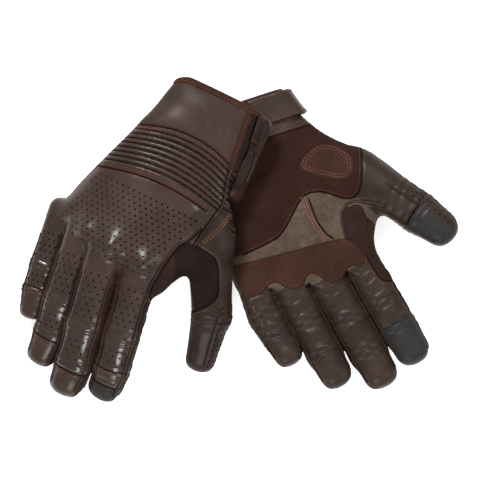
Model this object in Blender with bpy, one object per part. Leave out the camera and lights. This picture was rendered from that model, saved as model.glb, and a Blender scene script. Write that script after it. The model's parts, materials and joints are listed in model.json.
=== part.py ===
"""A pair of short-cuff leather riding gloves.

The left glove lies on its back with the palm up. The right glove lies palm down beside it,
with its cuff resting over the left cuff. Lengths below are in millimetres.
Glove coordinates: x from the thumb side to the little finger, y from the wrist to the
fingertips, and z above the ground.
"""
import math

import bmesh
import bpy
import numpy as np
from mathutils import Vector

MM = 0.001
WALL = 1.6                # leather and lining together
CLEARANCE = 0.4           # between pieces that lie on each other
INNER_GAP = 1.6           # between the knuckle guard and the leather over it
BAND_GAP = 1.8            # between the palm and the reinforcements sewn over it
AROUND = 12               # facets round a finger
ROUNDNESS = 2.4           # section exponent: 2 is an ellipse, more is squarer

FINGER_FLEX = 45.0        # degrees each joint bends towards the palm from rest
FINGER_BACK = 5.0
MIDDLE_FLEX = 55.0
TIP_FLEX = 37.0
THUMB_FLEX = 30.0
THUMB_TIP_FLEX = 40.0
WRIST_FLEX = 25.0
WRIST_BACK = 20.0

SEGMENT_SHARES = (0.42, 0.29, 0.29)
BEND_GROWTH = (1.0, 1.9, 2.5)
FINGER_FLATNESS = 0.86

STRAP_WIDTH = 21.0
STRAP_THICKNESS = 1.8
TRIM_THICKNESS = 1.1
PAD_THICKNESS = 2.6
BINDING_WIDTH = 4.0
PAD_MIDDLE = 18.0         # the heel pad, from the wrist
PAD_HALF_LENGTH = 15.0
PAD_ANGLES = (208.0, 258.0)
GUARD_STATIONS = (58.0, 76.0)
GUARD_ANGLES = (40.0, 128.0)
BAND_STATIONS = (58.0, 75.0)
BAND_ANGLES = (226.0, 336.0)
THUMB_PATCH_STATIONS = (66.0, 79.0)
THUMB_PATCH_ANGLES = (186.0, 208.0)
HALF_TURN_ANGLES = (1.5, 178.5)      # the back's share of the section; the palm has the rest
STRAP_ANGLES = (158.0, 264.0)
STRAP_LIFT = 2.3                     # between the cuff and the strap
STRAP_BULGE = 2.6                    # how much more it stands off where it folds round
HOOK_ANGLES = (240.0, 260.0)
LOOP_ANGLES = (238.0, 262.0)
BINDING_ANGLES = (14.0, 140.0)
FINGER_ROOM = 1.4                    # from a finger's base to the hand's end
EXTRA_FLEX = 14.0                    # the palm gives way this much more than a finger bends
FINGER_REACH = 17.5                  # half width of the hand that one finger shapes
KNUCKLE_LINE = 88.0
THUMB_HOLE_MARGIN = 1.4              # round the thumb where it is set into the hand
THUMB_HOLE_REACH = 12.0
THUMB_HOLE_HALF_HEIGHT = 40.0
THUMB_HOLE_LENGTH = 70.0
LOOP_MARGIN = 4.0                    # from the cuff's edge to the hook-and-loop tapes
LOOP_THICKNESS = 0.8
HOOK_MARGIN = 5.0
HOOK_THICKNESS = 0.4
HOOK_LIFT = 1.6

FINGER_NAMES = ("index", "middle", "ring", "little")
FINGER_HALF_WIDTHS = (12.2, 12.0, 11.2, 9.8)

RIGHT = {
    "name": "right",
    "up": 1.0,
    "wrist": (-53.25, 53.25),
    "turn": 153.5,
    "mouth": -65.0,
    "cuff_border": -19.0,
    "hinge": -6.0,
    "hand_border": 22.0,
    "thumb_edge": ((-66, -43), (-45, -46), (-19, -48), (1, -51), (12, -58), (22, -65), (32, -69),
                   (42, -66), (52, -54), (62, -45), (75, -36), (92, -31)),
    "little_edge": ((-66, 22), (-19, 34), (1, 41), (22, 48), (45, 55), (62, 60), (75, 63), (92, 65)),
    "knuckles": ((-18, 88, 37), (11, 89.5, 35.5), (34, 86, 27), (56, 80, 15.5)),
    "finger_ends": ((-33, 178), (-6, 187), (21, 175), (46, 146)),
    "end_heights": (12.0, 12.0, 11.5, 9.8),
    "finger_rolls": (7.0, 8.0, 9.5, 11.0),
    "thumb_points": ((-54, 38, 37), (-77, 82, 27), (-87, 126, 13)),
    "thumb_half_widths": (17.5, 15.5, 13.0),
    "cuff_height": 44.0,
    "cuff_roll": 0.075,
    "cuff_half_height": 12.0,
}
LEFT = {
    "name": "left",
    "up": -1.0,
    "wrist": (39.5, 65.6),
    "turn": 198.5,
    "mouth": -48.0,
    "cuff_border": -18.0,
    "hinge": -6.0,
    "hand_border": 22.0,
    "thumb_edge": ((-49, -7), (-26, -15), (-14, -22), (0, -34), (12, -47), (24, -57), (34, -62),
                   (44, -64), (55, -59), (66, -50), (78, -40), (92, -34)),
    "little_edge": ((-49, 60), (-11, 58), (2, 58), (22, 60), (45, 66), (62, 69), (75, 71), (92, 72)),
    "knuckles": ((-22, 88, 14.5), (7, 90, 14.5), (35, 87, 14), (61, 80, 13)),
    "finger_ends": ((-39, 178), (-11, 187), (21, 176), (50, 150)),
    "end_heights": (30.0, 32.0, 32.0, 29.0),
    "finger_rolls": (0.0, 0.0, 0.0, 0.0),
    "thumb_points": ((-52.6, 42.5, 19), (-74, 72, 27), (-93, 98, 36)),
    "thumb_half_widths": (15.5, 14.5, 12.5),
    "cuff_height": 10.5,
    "cuff_roll": 0.0,
    "cuff_half_height": 8.8,
}

LEATHER = ("leather", (0.085, 0.062, 0.052, 1.0), 0.45)
SUEDE = ("suede", (0.045, 0.022, 0.018, 1.0), 0.90)
BINDING = ("binding", (0.075, 0.032, 0.024, 1.0), 0.85)
FOAM = ("guard", (0.030, 0.030, 0.032, 1.0), 0.80)
HOOK = ("hook_and_loop", (0.015, 0.015, 0.016, 1.0), 0.95)
TOUCH = ("touch_leather", (0.045, 0.045, 0.045, 1.0), 0.55)

solids = []
joints = []
cutters = []


def smooth_curve(stations, value):
    """A cubic through (position, value) stations, evaluated at each of the given positions."""
    xs = np.array([s[0] for s in stations], float)
    ys = np.array([s[1] for s in stations], float)
    slopes = np.gradient(ys, xs)
    v = np.clip(np.asarray(value, float), xs[0], xs[-1])
    i = np.clip(np.searchsorted(xs, v) - 1, 0, len(xs) - 2)
    span = xs[i + 1] - xs[i]
    t = (v - xs[i]) / span
    start = (1 + 2 * t) * (1 - t) ** 2 * ys[i] + t * (1 - t) ** 2 * span * slopes[i]
    end = t ** 2 * (3 - 2 * t) * ys[i + 1] + t ** 2 * (t - 1) * span * slopes[i + 1]
    return start + end


def ease(value, low, high):
    t = np.clip((value - low) / (high - low), 0.0, 1.0)
    return t * t * (3 - 2 * t)


def section(angle):
    """A unit superellipse point at the given angle."""
    c, s = np.cos(angle), np.sin(angle)
    power = 2.0 / ROUNDNESS
    return np.sign(c) * np.abs(c) ** power, np.sign(s) * np.abs(s) ** power


def to_world(glove, points):
    """Turn and shift glove coordinates to where the glove lies."""
    p = np.asarray(points, float)
    turn = math.radians(glove["turn"])
    x = glove["wrist"][0] + math.cos(turn) * p[..., 0] - math.sin(turn) * p[..., 1]
    y = glove["wrist"][1] + math.sin(turn) * p[..., 0] + math.cos(turn) * p[..., 1]
    return np.stack([x, y, p[..., 2]], axis=-1)


def turned(glove, direction):
    """Turn a direction without shifting it."""
    origin = to_world(glove, (0.0, 0.0, 0.0))
    return to_world(glove, direction) - origin


def centre_height(glove, x, y):
    """Height of the middle of the glove's hand and cuff above the ground."""
    middle = 0.5 * (smooth_curve(glove["thumb_edge"], y) + smooth_curve(glove["little_edge"], y))
    cuff = glove["cuff_height"] - glove["cuff_roll"] * (x - middle)
    knuckle_xs = [k[0] for k in glove["knuckles"]]
    knuckle_zs = [k[2] for k in glove["knuckles"]]
    first, last = knuckle_xs[0], knuckle_xs[-1]
    row = [(first - 20, knuckle_zs[0])] + list(zip(knuckle_xs, knuckle_zs))
    row.append((last + 14, knuckle_zs[-1] - 0.35 * (knuckle_zs[-2] - knuckle_zs[-1])))
    arch = smooth_curve(row, x)
    hand = ease(y, glove["cuff_border"], 78.0)
    return cuff * (1 - hand) + arch * hand


def half_heights(glove, y, dorsal):
    """Half thickness of the glove towards its back or towards its palm."""
    cuff = glove["cuff_half_height"]
    if dorsal:
        stations = ((-70, cuff), (-10, cuff), (22, 13.0), (45, 15.0), (66, 15.5), (78, 13.5), (92, 12.0))
    else:
        stations = ((-70, cuff), (-10, cuff), (22, 13.5), (45, 15.0), (66, 13.5), (78, 12.0), (92, 11.6))
    return smooth_curve(stations, y)


def finger_line(glove, x):
    """How far the hand's end may reach at x without touching a finger's base."""
    reach = np.full(np.shape(x), 200.0)
    for knuckle, end in zip(glove["knuckles"], glove["finger_ends"]):
        lean = (knuckle[0] - end[0]) / (end[1] - knuckle[1])
        line = knuckle[1] + lean * (x - knuckle[0])
        near = np.abs(x - knuckle[0]) < FINGER_REACH
        reach = np.where(near, np.minimum(reach, line), reach)
    nearest = np.argmin([np.abs(np.asarray(x) - k[0]) for k in glove["knuckles"]], axis=0)
    alone = np.array([k[1] for k in glove["knuckles"]])[nearest] - 2.0
    return np.where(reach > 150.0, alone, reach)


def hand_points(glove, angles, shares, low, high, offset):
    """Surface points of the hand or cuff between two stations, moved out by offset.

    low and high are functions of x and of the distance to the back, that give the y of each end.
    """
    ys = low(0.0, 0.0) + np.asarray(shares)[:, None] * (high(0.0, 0.0) - low(0.0, 0.0))
    ys = np.broadcast_to(ys, (len(shares), len(angles)))
    thumb = smooth_curve(glove["thumb_edge"], ys)
    little = smooth_curve(glove["little_edge"], ys)
    c, s = section(np.asarray(angles))
    x = 0.5 * (thumb + little) + (0.5 * (little - thumb) + offset) * c
    back = np.where(s >= 0, half_heights(glove, ys, True), half_heights(glove, ys, False)) + offset
    rise = back * s
    start = low(x, rise)
    end = high(x, rise)
    y = start + np.asarray(shares)[:, None] * (end - start)
    z = centre_height(glove, x, y) + glove["up"] * rise
    return np.stack([x, y, np.maximum(z, 0.0)], axis=-1)


def plain_end(y):
    return lambda x, rise: y + 0.0 * np.asarray(x)


def wedge(rise, towards_palm, towards_back):
    """Room that a bending joint needs at this distance from its axis."""
    palm = np.tan(math.radians(towards_palm) / 2)
    back = np.tan(math.radians(towards_back) / 2)
    return np.where(rise < 0, -rise * palm, rise * back)


def knuckle_end(glove):
    def end(x, rise):
        if np.ndim(x) == 0:
            return KNUCKLE_LINE
        return finger_line(glove, x) - FINGER_ROOM - wedge(rise, FINGER_FLEX + EXTRA_FLEX, FINGER_BACK)
    return end


def wrist_end(glove, side):
    def end(x, rise):
        return glove["hinge"] + side * (CLEARANCE + 0.4 + wedge(rise, WRIST_FLEX, WRIST_BACK))
    return end


def add_solid(name, outer, inner, wrap, capped, look):
    solids.append({"name": name, "outer": outer, "inner": inner, "wrap": wrap, "capped": capped,
                   "look": look, "joint": None, "cut": False})
    return solids[-1]


def band_solid(glove, name, look, angles, shares, low, high, inside, outside):
    """A curved sheet piece that follows the hand between two offsets from its surface."""
    outer = hand_points(glove, angles, shares, low, high, outside)
    inner = hand_points(glove, angles, shares, low, high, inside)
    full = glove["name"] + "_" + name
    return add_solid(full, to_world(glove, outer), to_world(glove, inner), False, False, look)


def lift_inner(solid):
    """Keep the wall's thickness where the underside is pressed flat on the ground."""
    outer, inner = solid["outer"], solid["inner"]
    low = outer[..., 2] < WALL
    inner[..., 2] = np.where(low, np.maximum(inner[..., 2], outer[..., 2] + WALL), inner[..., 2])


def add_joint(glove, name, kind, place, axis, pieces):
    joint = {"name": glove["name"] + "_" + name, "place": to_world(glove, place),
             "axis": turned(glove, axis), "kind": kind}
    joints.append(joint)
    for piece in pieces:
        piece["joint"] = joint["name"]
    return joint


def tube_frame(glove, direction, roll):
    """Unit vectors of a tube: along it, across it towards the little finger, and to its back."""
    along = np.array(direction, float)
    along /= np.linalg.norm(along)
    across = np.array([along[1], -along[0], 0.0])
    across /= np.linalg.norm(across)
    back = glove["up"] * np.cross(across, along)
    r = math.radians(roll)
    tilted = across * math.cos(r) - back * math.sin(r)
    raised = back * math.cos(r) + across * math.sin(r)
    return along, tilted, raised


def tube_ring(frame, start, distance, half_width, half_height, angles, slope_plane, room):
    """One ring of a tube, cut along a mitre plane when one is given."""
    along, across, back = frame
    c, s = section(angles)
    side = half_width * c
    rise = half_height * s
    if slope_plane is None:
        shift = np.zeros_like(side)
    else:
        lean = along @ slope_plane
        shift = -(side * (across @ slope_plane) + rise * (back @ slope_plane)) / lean
        shift = shift + room(rise)
    reach = distance + shift
    return (np.asarray(start)[None, :] + reach[:, None] * along[None, :]
            + side[:, None] * across[None, :] + rise[:, None] * back[None, :])


def tube_rings(segment, angles, offset, inset):
    """Rings from the start of a finger segment to its end, moved out by offset."""
    frame, start, length = segment["frame"], segment["start"], segment["length"]
    wide_a, wide_b = segment["half_widths"]
    rings = []
    first = tube_ring(frame, start, CLEARANCE, wide_a + offset,
                      wide_a * FINGER_FLATNESS + offset, angles, segment["start_plane"],
                      segment["start_room"])
    rings.append(first)
    middle = 0.5 * (wide_a + wide_b)
    rings.append(tube_ring(frame, start, 0.55 * length, middle + offset,
                           middle * FINGER_FLATNESS + offset, angles, None, None))
    if segment["end_plane"] is not None:
        rings.append(tube_ring(frame, start, length - CLEARANCE, wide_b + offset,
                               wide_b * FINGER_FLATNESS + offset, angles, segment["end_plane"],
                               segment["end_room"]))
        return np.array(rings), None
    round_length = 0.85 * wide_b
    for turn in (0.0, 0.5, 0.8, 0.95):
        shrink = (1 - turn ** 2.6) ** (1 / 2.6)
        distance = length - round_length + turn * (round_length - inset)
        rings.append(tube_ring(frame, start, distance, (wide_b + offset) * shrink,
                               (wide_b * FINGER_FLATNESS + offset) * shrink, angles, None, None))
    pole = np.asarray(start) + (length - inset) * frame[0]
    return np.array(rings), pole


def tube_solid(glove, name, look, segment):
    """A hollow finger segment, closed where it is the tip."""
    angles = np.linspace(0, 2 * math.pi, AROUND, endpoint=False)
    outer, outer_pole = tube_rings(segment, angles, 0.0, 0.0)
    inner, inner_pole = tube_rings(segment, angles, -WALL, WALL)
    capped = outer_pole is not None
    solid = add_solid(glove["name"] + "_" + name, to_world(glove, outer), to_world(glove, inner),
                      True, capped, look)
    if capped:
        solid["poles"] = (to_world(glove, outer_pole), to_world(glove, inner_pole))
    return solid


def tip_patch(glove, name, look, segment, first_ring):
    """A thin second layer over the palm side of a fingertip."""
    angles = np.linspace(math.radians(190), math.radians(350), 9)
    low, _ = tube_rings(segment, angles, CLEARANCE, -CLEARANCE)
    high, _ = tube_rings(segment, angles, CLEARANCE + TRIM_THICKNESS, -CLEARANCE - TRIM_THICKNESS)
    return add_solid(glove["name"] + "_" + name, to_world(glove, high[first_ring:]),
                     to_world(glove, low[first_ring:]), False, False, look)


def chain(glove, points, half_widths, rolls, flexes, backs, full_start):
    """Segments of a finger or thumb through its joints, mitred so that each joint can bend."""
    segments = []
    frames = []
    for a, b, roll in zip(points[:-1], points[1:], rolls):
        frames.append(tube_frame(glove, np.subtract(b, a), roll))
    for i, frame in enumerate(frames):
        length = float(np.linalg.norm(np.subtract(points[i + 1], points[i])))
        if i == 0:
            start_plane = frame[0]
            share = 2.0 if full_start else 1.0
        else:
            start_plane = frame[0] + frames[i - 1][0]
            share = 1.0
        start_plane = start_plane / np.linalg.norm(start_plane)
        flex, back = flexes[i], backs[i]
        end_plane = None
        end_room = None
        if i + 1 < len(frames):
            end_plane = frame[0] + frames[i + 1][0]
            end_plane = end_plane / np.linalg.norm(end_plane)
            next_flex, next_back = flexes[i + 1], backs[i + 1]
            end_room = lambda rise, f=next_flex, k=next_back: -wedge(rise, f, k)
        segments.append({
            "frame": frame, "start": np.array(points[i], float), "length": length,
            "half_widths": (half_widths[i], half_widths[i + 1]),
            "start_plane": start_plane,
            "start_room": lambda rise, f=flex, k=back, n=share: wedge(rise, f * n, k * n),
            "end_plane": end_plane, "end_room": end_room,
        })
    return segments


def finger_points(knuckle, end, end_height, up):
    """Joints of one finger, bent evenly so that its end comes to the wanted height."""
    flat = np.array([end[0] - knuckle[0], end[1] - knuckle[1]])
    plan = float(np.linalg.norm(flat))
    forward = flat / plan
    low, high = 0.0, 30.0
    for _ in range(40):
        bend = 0.5 * (low + high)
        angles = [math.radians(bend * growth) for growth in BEND_GROWTH]
        stretch = plan / sum(s * math.cos(a) for s, a in zip(SEGMENT_SHARES, angles))
        rise = sum(s * stretch * math.sin(a) for s, a in zip(SEGMENT_SHARES, angles))
        if rise < abs(end_height - knuckle[2]):
            low = bend
        else:
            high = bend
    points = [np.array(knuckle, float)]
    for share, angle in zip(SEGMENT_SHARES, angles):
        step = share * stretch
        flat_step = step * math.cos(angle)
        down = -up * step * math.sin(angle)
        points.append(points[-1] + np.array([forward[0] * flat_step, forward[1] * flat_step, down]))
    return points


def hinge_axis(glove, frame):
    """Axis that bends a segment towards the palm for a positive angle."""
    return -glove["up"] * frame[1]


def add_fingers(glove):
    for i, finger in enumerate(FINGER_NAMES):
        width = FINGER_HALF_WIDTHS[i]
        points = finger_points(glove["knuckles"][i], glove["finger_ends"][i],
                               glove["end_heights"][i], glove["up"])
        roll = glove["finger_rolls"][i]
        segments = chain(glove, points, (width, width * 0.98, width * 0.95, width * 0.92),
                         (roll, roll, roll), (FINGER_FLEX + 2, MIDDLE_FLEX + 1, TIP_FLEX + 1),
                         (FINGER_BACK + 1, 1.0, 1.0), False)
        for part_name, segment in zip(("base", "middle", "tip"), segments):
            pieces = [tube_solid(glove, finger + "_" + part_name, LEATHER, segment)]
            if finger == "index" and part_name == "tip":
                pieces.append(tip_patch(glove, "index_touch_pad", TOUCH, segment, 1))
            add_joint(glove, finger + "_" + part_name, "hinge", segment["start"],
                      hinge_axis(glove, segment["frame"]), pieces)


def add_thumb(glove):
    points = [np.array(p, float) for p in glove["thumb_points"]]
    segments = chain(glove, points, glove["thumb_half_widths"], (0.0, 0.0),
                     (THUMB_FLEX + 2, THUMB_TIP_FLEX + 1), (2.0, 1.0), True)
    base = tube_solid(glove, "thumb_base", LEATHER, segments[0])
    tip = tube_solid(glove, "thumb_tip", LEATHER, segments[1])
    pad = tip_patch(glove, "thumb_touch_pad", TOUCH, segments[1], 1)
    add_joint(glove, "thumb_base", "hinge", segments[0]["start"],
              hinge_axis(glove, segments[0]["frame"]), [base])
    add_joint(glove, "thumb_tip", "hinge", segments[1]["start"],
              hinge_axis(glove, segments[1]["frame"]), [tip, pad])
    add_thumb_cutter(glove, segments[0])


def add_thumb_cutter(glove, segment):
    """A box along the thumb that opens the hand where the thumb is set in."""
    along, across, back = segment["frame"]
    half = segment["half_widths"][0] + THUMB_HOLE_MARGIN
    corners = []
    for distance in (-0.3, THUMB_HOLE_LENGTH):
        for side in (-half - THUMB_HOLE_REACH, half):
            for rise in (-THUMB_HOLE_HALF_HEIGHT, THUMB_HOLE_HALF_HEIGHT):
                corners.append(segment["start"] + distance * along + side * across + rise * back)
    cutters.append({"glove": glove["name"], "corners": to_world(glove, np.array(corners))})


def add_hand(glove):
    back_angles = np.radians(np.linspace(*HALF_TURN_ANGLES, 15))
    palm_angles = math.pi + back_angles
    steps = np.linspace(0, 1, 10)
    few = np.linspace(0, 1, 4)
    border = glove["hand_border"]
    back = band_solid(glove, "back_panel", LEATHER, back_angles, steps,
                      plain_end(border + CLEARANCE), knuckle_end(glove), -WALL, 0.0)
    palm = band_solid(glove, "palm_panel", SUEDE, palm_angles, steps,
                      wrist_end(glove, 1.0), knuckle_end(glove), -WALL, 0.0)
    back["cut"] = True
    palm["cut"] = True
    lift_inner(back)
    lift_inner(palm)
    pieces = [back, palm]
    pieces.append(band_solid(glove, "rib_panel_lower", LEATHER, back_angles, few,
                             wrist_end(glove, 1.0), plain_end(border), -WALL, 0.0))
    lift_inner(pieces[-1])
    pieces.append(band_solid(glove, "knuckle_guard", FOAM, np.radians(np.linspace(*GUARD_ANGLES, 11)),
                             few, plain_end(GUARD_STATIONS[0]), plain_end(GUARD_STATIONS[1]),
                             -WALL - INNER_GAP - PAD_THICKNESS, -WALL - INNER_GAP))
    if glove["up"] < 0:
        lift = WALL + INNER_GAP
        guard = pieces[-1]
        guard["outer"][..., 2] = np.maximum(guard["outer"][..., 2], lift)
        guard["inner"][..., 2] = np.maximum(guard["inner"][..., 2], lift + PAD_THICKNESS)
    pieces.append(palm_pad(glove))
    pieces.append(band_solid(glove, "finger_band", SUEDE, np.radians(np.linspace(*BAND_ANGLES, 14)),
                             few, plain_end(BAND_STATIONS[0]), plain_end(BAND_STATIONS[1]), BAND_GAP,
                             BAND_GAP + TRIM_THICKNESS))
    pieces.append(band_solid(glove, "thumb_patch", SUEDE, np.radians(np.linspace(*THUMB_PATCH_ANGLES, 6)),
                             few, plain_end(THUMB_PATCH_STATIONS[0]),
                             plain_end(THUMB_PATCH_STATIONS[1]), BAND_GAP,
                             BAND_GAP + TRIM_THICKNESS))
    return pieces


def palm_pad(glove):
    """The padded patch on the heel of the palm, rounded at its ends."""
    first, last = np.radians(PAD_ANGLES)
    angles = np.linspace(first, last, 11)
    around = (angles - 0.5 * (first + last)) / (0.5 * (last - first))
    half = PAD_HALF_LENGTH * (1.0 - 0.85 * np.abs(around) ** 3.0) ** 0.5

    def low(x, rise):
        return PAD_MIDDLE - (half if np.ndim(x) else PAD_HALF_LENGTH)

    def high(x, rise):
        return PAD_MIDDLE + (half if np.ndim(x) else PAD_HALF_LENGTH)
    return band_solid(glove, "palm_pad", SUEDE, angles, np.linspace(0, 1, 5), low, high,
                      BAND_GAP, BAND_GAP + PAD_THICKNESS)


def add_cuff(glove):
    back_angles = np.radians(np.linspace(*HALF_TURN_ANGLES, 15))
    palm_angles = math.pi + back_angles
    few = np.linspace(0, 1, 4)
    mouth, border = glove["mouth"], glove["cuff_border"]
    pieces = [
        band_solid(glove, "cuff_panel", LEATHER, back_angles, few, plain_end(mouth),
                   plain_end(border), -WALL, 0.0),
        band_solid(glove, "rib_panel_upper", LEATHER, back_angles, few,
                   plain_end(border + CLEARANCE), wrist_end(glove, -1.0), -WALL, 0.0),
        band_solid(glove, "cuff_underside", SUEDE, palm_angles, few, plain_end(mouth),
                   wrist_end(glove, -1.0), -WALL, 0.0),
        band_solid(glove, "cuff_binding", BINDING, np.radians(np.linspace(*BINDING_ANGLES, 17)),
                   (0.0, 1.0), plain_end(mouth), plain_end(mouth + BINDING_WIDTH), CLEARANCE,
                   CLEARANCE + TRIM_THICKNESS),
        band_solid(glove, "loop_pad", HOOK, np.radians(np.linspace(*LOOP_ANGLES, 6)), (0.0, 1.0),
                   plain_end(mouth + LOOP_MARGIN), plain_end(mouth + 19.0), CLEARANCE,
                   CLEARANCE + LOOP_THICKNESS),
    ]
    if glove["up"] < 0:
        for piece in pieces[:2]:
            lift_inner(piece)
        binding = pieces[3]
        binding["outer"][..., 2] = np.maximum(binding["outer"][..., 2], 0.0)
    return pieces


def add_strap(glove):
    """The closure strap, sewn on at the thumb side and folded over to the palm side."""
    mouth = glove["mouth"]
    angles = np.radians(np.linspace(*STRAP_ANGLES, 22))
    loop = np.sin(np.clip((np.degrees(angles) - STRAP_ANGLES[0]) / 75.0, 0, 1) * math.pi)
    inside = STRAP_LIFT + STRAP_BULGE * loop
    low, high = plain_end(mouth + 1.0), plain_end(mouth + 1.0 + STRAP_WIDTH)
    few = np.linspace(0, 1, 4)
    strap = band_solid(glove, "strap", LEATHER, angles, few, low, high, inside,
                       inside + STRAP_THICKNESS)
    hook_angles = np.radians(np.linspace(*HOOK_ANGLES, 5))
    hook = band_solid(glove, "hook_pad", HOOK, hook_angles, (0.0, 1.0),
                      plain_end(mouth + HOOK_MARGIN), plain_end(mouth + 18.0), HOOK_LIFT,
                      HOOK_LIFT + HOOK_THICKNESS)
    first = 0.25 * (strap["outer"][0, 0] + strap["inner"][0, 0]
                    + strap["outer"][-1, 0] + strap["inner"][-1, 0])
    spine = strap["outer"][-1, 0] - strap["outer"][0, 0]
    return strap, hook, first, spine / np.linalg.norm(spine)


def build_glove(glove):
    hand = add_hand(glove)
    cuff = add_cuff(glove)
    strap, hook, place, axis = add_strap(glove)
    y = glove["hinge"]
    middle = 0.5 * (smooth_curve(glove["thumb_edge"], y) + smooth_curve(glove["little_edge"], y))
    height = centre_height(glove, middle, y)
    across = np.array([1.0, 0.0, -glove["cuff_roll"]])
    across /= np.linalg.norm(across)
    add_joint(glove, "wrist", "hinge", (float(middle), y, float(height)),
              glove["up"] * across, cuff)
    joints.append({"name": glove["name"] + "_strap", "place": place,
                   "axis": glove["up"] * axis, "kind": "hinge"})
    strap["joint"] = joints[-1]["name"]
    hook["joint"] = joints[-1]["name"]
    for piece in hand:
        piece["joint"] = glove["name"] + "_hand"
    joints.append({"name": glove["name"] + "_hand", "place": to_world(glove, (5.0, 45.0, 0.0)),
                   "axis": np.array([0.0, 0.0, 1.0]), "kind": "slide"})
    add_fingers(glove)
    add_thumb(glove)


def make_material(look):
    name, colour, roughness = look
    material = bpy.data.materials.get(name)
    if material is None:
        material = bpy.data.materials.new(name)
        material.use_nodes = True
        shader = material.node_tree.nodes["Principled BSDF"]
        shader.inputs["Base Color"].default_value = colour
        shader.inputs["Roughness"].default_value = roughness
        material.diffuse_color = colour
    return material


def own_material(solid):
    """Each piece has a material of its own, with the look of its kind."""
    kind, colour, roughness = solid["look"]
    return make_material((solid["name"] + "_" + kind, colour, roughness))


def mesh_from_grids(solid, shift):
    """Join the outer and inner grids of a piece into one closed body."""
    mesh = bpy.data.meshes.new(solid["name"])
    bm = bmesh.new()
    layers = []
    for grid in (solid["outer"], solid["inner"]):
        layers.append([[bm.verts.new(Vector((p - shift) * MM)) for p in ring] for ring in grid])
    rows, columns = len(layers[0]), len(layers[0][0])
    last = columns if solid["wrap"] else columns - 1
    for grid in layers:
        for r in range(rows - 1):
            for c in range(last):
                n = (c + 1) % columns
                bm.faces.new((grid[r][c], grid[r][n], grid[r + 1][n], grid[r + 1][c]))
    outer, inner = layers
    ends = [0] if solid["capped"] else [0, rows - 1]
    for r in ends:
        for c in range(last):
            n = (c + 1) % columns
            bm.faces.new((outer[r][c], outer[r][n], inner[r][n], inner[r][c]))
    if not solid["wrap"]:
        for c in (0, columns - 1):
            for r in range(rows - 1):
                bm.faces.new((outer[r][c], outer[r + 1][c], inner[r + 1][c], inner[r][c]))
    if solid["capped"]:
        for grid, pole in zip(layers, solid["poles"]):
            top = bm.verts.new(Vector((pole - shift) * MM))
            for c in range(columns):
                bm.faces.new((grid[-1][c], grid[-1][(c + 1) % columns], top))
    bmesh.ops.recalc_face_normals(bm, faces=bm.faces)
    bm.to_mesh(mesh)
    bm.free()
    mesh.shade_smooth()
    return mesh


def make_cutter(cutter, shift):
    mesh = bpy.data.meshes.new("thumb_hole")
    bm = bmesh.new()
    verts = [bm.verts.new(Vector((p - shift) * MM)) for p in cutter["corners"]]
    bmesh.ops.convex_hull(bm, input=verts)
    bmesh.ops.recalc_face_normals(bm, faces=bm.faces)
    bm.to_mesh(mesh)
    bm.free()
    thing = bpy.data.objects.new(cutter["glove"] + "_thumb_hole", mesh)
    thing.hide_render = True
    thing.display_type = "WIRE"
    bpy.context.scene.collection.objects.link(thing)
    return thing


def build():
    for thing in list(bpy.data.objects):
        bpy.data.objects.remove(thing, do_unlink=True)
    build_glove(LEFT)
    build_glove(RIGHT)
    reach = np.concatenate([s["outer"].reshape(-1, 3) for s in solids])
    low, high = reach.min(axis=0), reach.max(axis=0)
    shift = np.array([0.5 * (low[0] + high[0]), 0.5 * (low[1] + high[1]), low[2]])
    scene = bpy.context.scene.collection.objects
    empties = {}
    for joint in joints:
        empty = bpy.data.objects.new(joint["name"] + "_axis", None)
        empty.location = Vector((joint["place"] - shift) * MM)
        empty.rotation_mode = "QUATERNION"
        empty.rotation_quaternion = Vector(joint["axis"]).to_track_quat("Z", "Y")
        empty.empty_display_size = 0.01
        scene.link(empty)
        empties[joint["name"]] = empty
    bpy.context.view_layer.update()
    holes = {c["glove"]: make_cutter(c, shift) for c in cutters}
    for solid in solids:
        thing = bpy.data.objects.new(solid["name"], mesh_from_grids(solid, shift))
        thing.data.materials.append(own_material(solid))
        scene.link(thing)
        empty = empties[solid["joint"]]
        thing.parent = empty
        thing.matrix_parent_inverse = empty.matrix_world.inverted()
        if solid["cut"]:
            cut = thing.modifiers.new("thumb_hole", "BOOLEAN")
            cut.operation = "DIFFERENCE"
            cut.solver = "EXACT"
            cut.object = holes[solid["name"].split("_")[0]]


build()
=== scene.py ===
import json
import math

import bpy
import numpy as np
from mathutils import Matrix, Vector
from mathutils.geometry import delaunay_2d_cdt
from mathutils.kdtree import KDTree


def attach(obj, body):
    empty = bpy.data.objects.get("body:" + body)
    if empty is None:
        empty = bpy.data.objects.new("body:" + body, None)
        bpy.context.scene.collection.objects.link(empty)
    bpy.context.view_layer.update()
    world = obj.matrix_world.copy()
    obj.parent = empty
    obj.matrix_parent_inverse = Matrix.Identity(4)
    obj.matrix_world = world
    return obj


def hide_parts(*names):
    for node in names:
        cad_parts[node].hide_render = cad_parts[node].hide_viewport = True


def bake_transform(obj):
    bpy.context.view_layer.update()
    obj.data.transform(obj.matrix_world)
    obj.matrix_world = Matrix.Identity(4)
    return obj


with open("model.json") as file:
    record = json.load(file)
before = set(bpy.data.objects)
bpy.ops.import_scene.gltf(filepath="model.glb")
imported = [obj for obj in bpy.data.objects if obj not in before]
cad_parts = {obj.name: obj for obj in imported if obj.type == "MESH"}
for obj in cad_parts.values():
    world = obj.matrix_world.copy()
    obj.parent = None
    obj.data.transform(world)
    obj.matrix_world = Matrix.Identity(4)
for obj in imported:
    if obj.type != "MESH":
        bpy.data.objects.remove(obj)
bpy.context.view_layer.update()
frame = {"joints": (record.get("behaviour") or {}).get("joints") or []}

# Lengths are in millimetres in glove coordinates: x from the thumb side to the little finger,
# y from the wrist to the fingertips, z above the ground.
MM = 0.001
STEP = 0.85               # cells of the grid that the leather's surface is taken from
WALL = 2.0                # leather and lining together
RIB_PITCH = 4.2
RIB_MARGIN = 4.6          # from the panel's border to its first rib
ROUNDNESS = 2.4           # power of the hand's section, 2 would be an ellipse
LIP = -16.5               # the palm's leather lip ends here
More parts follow.
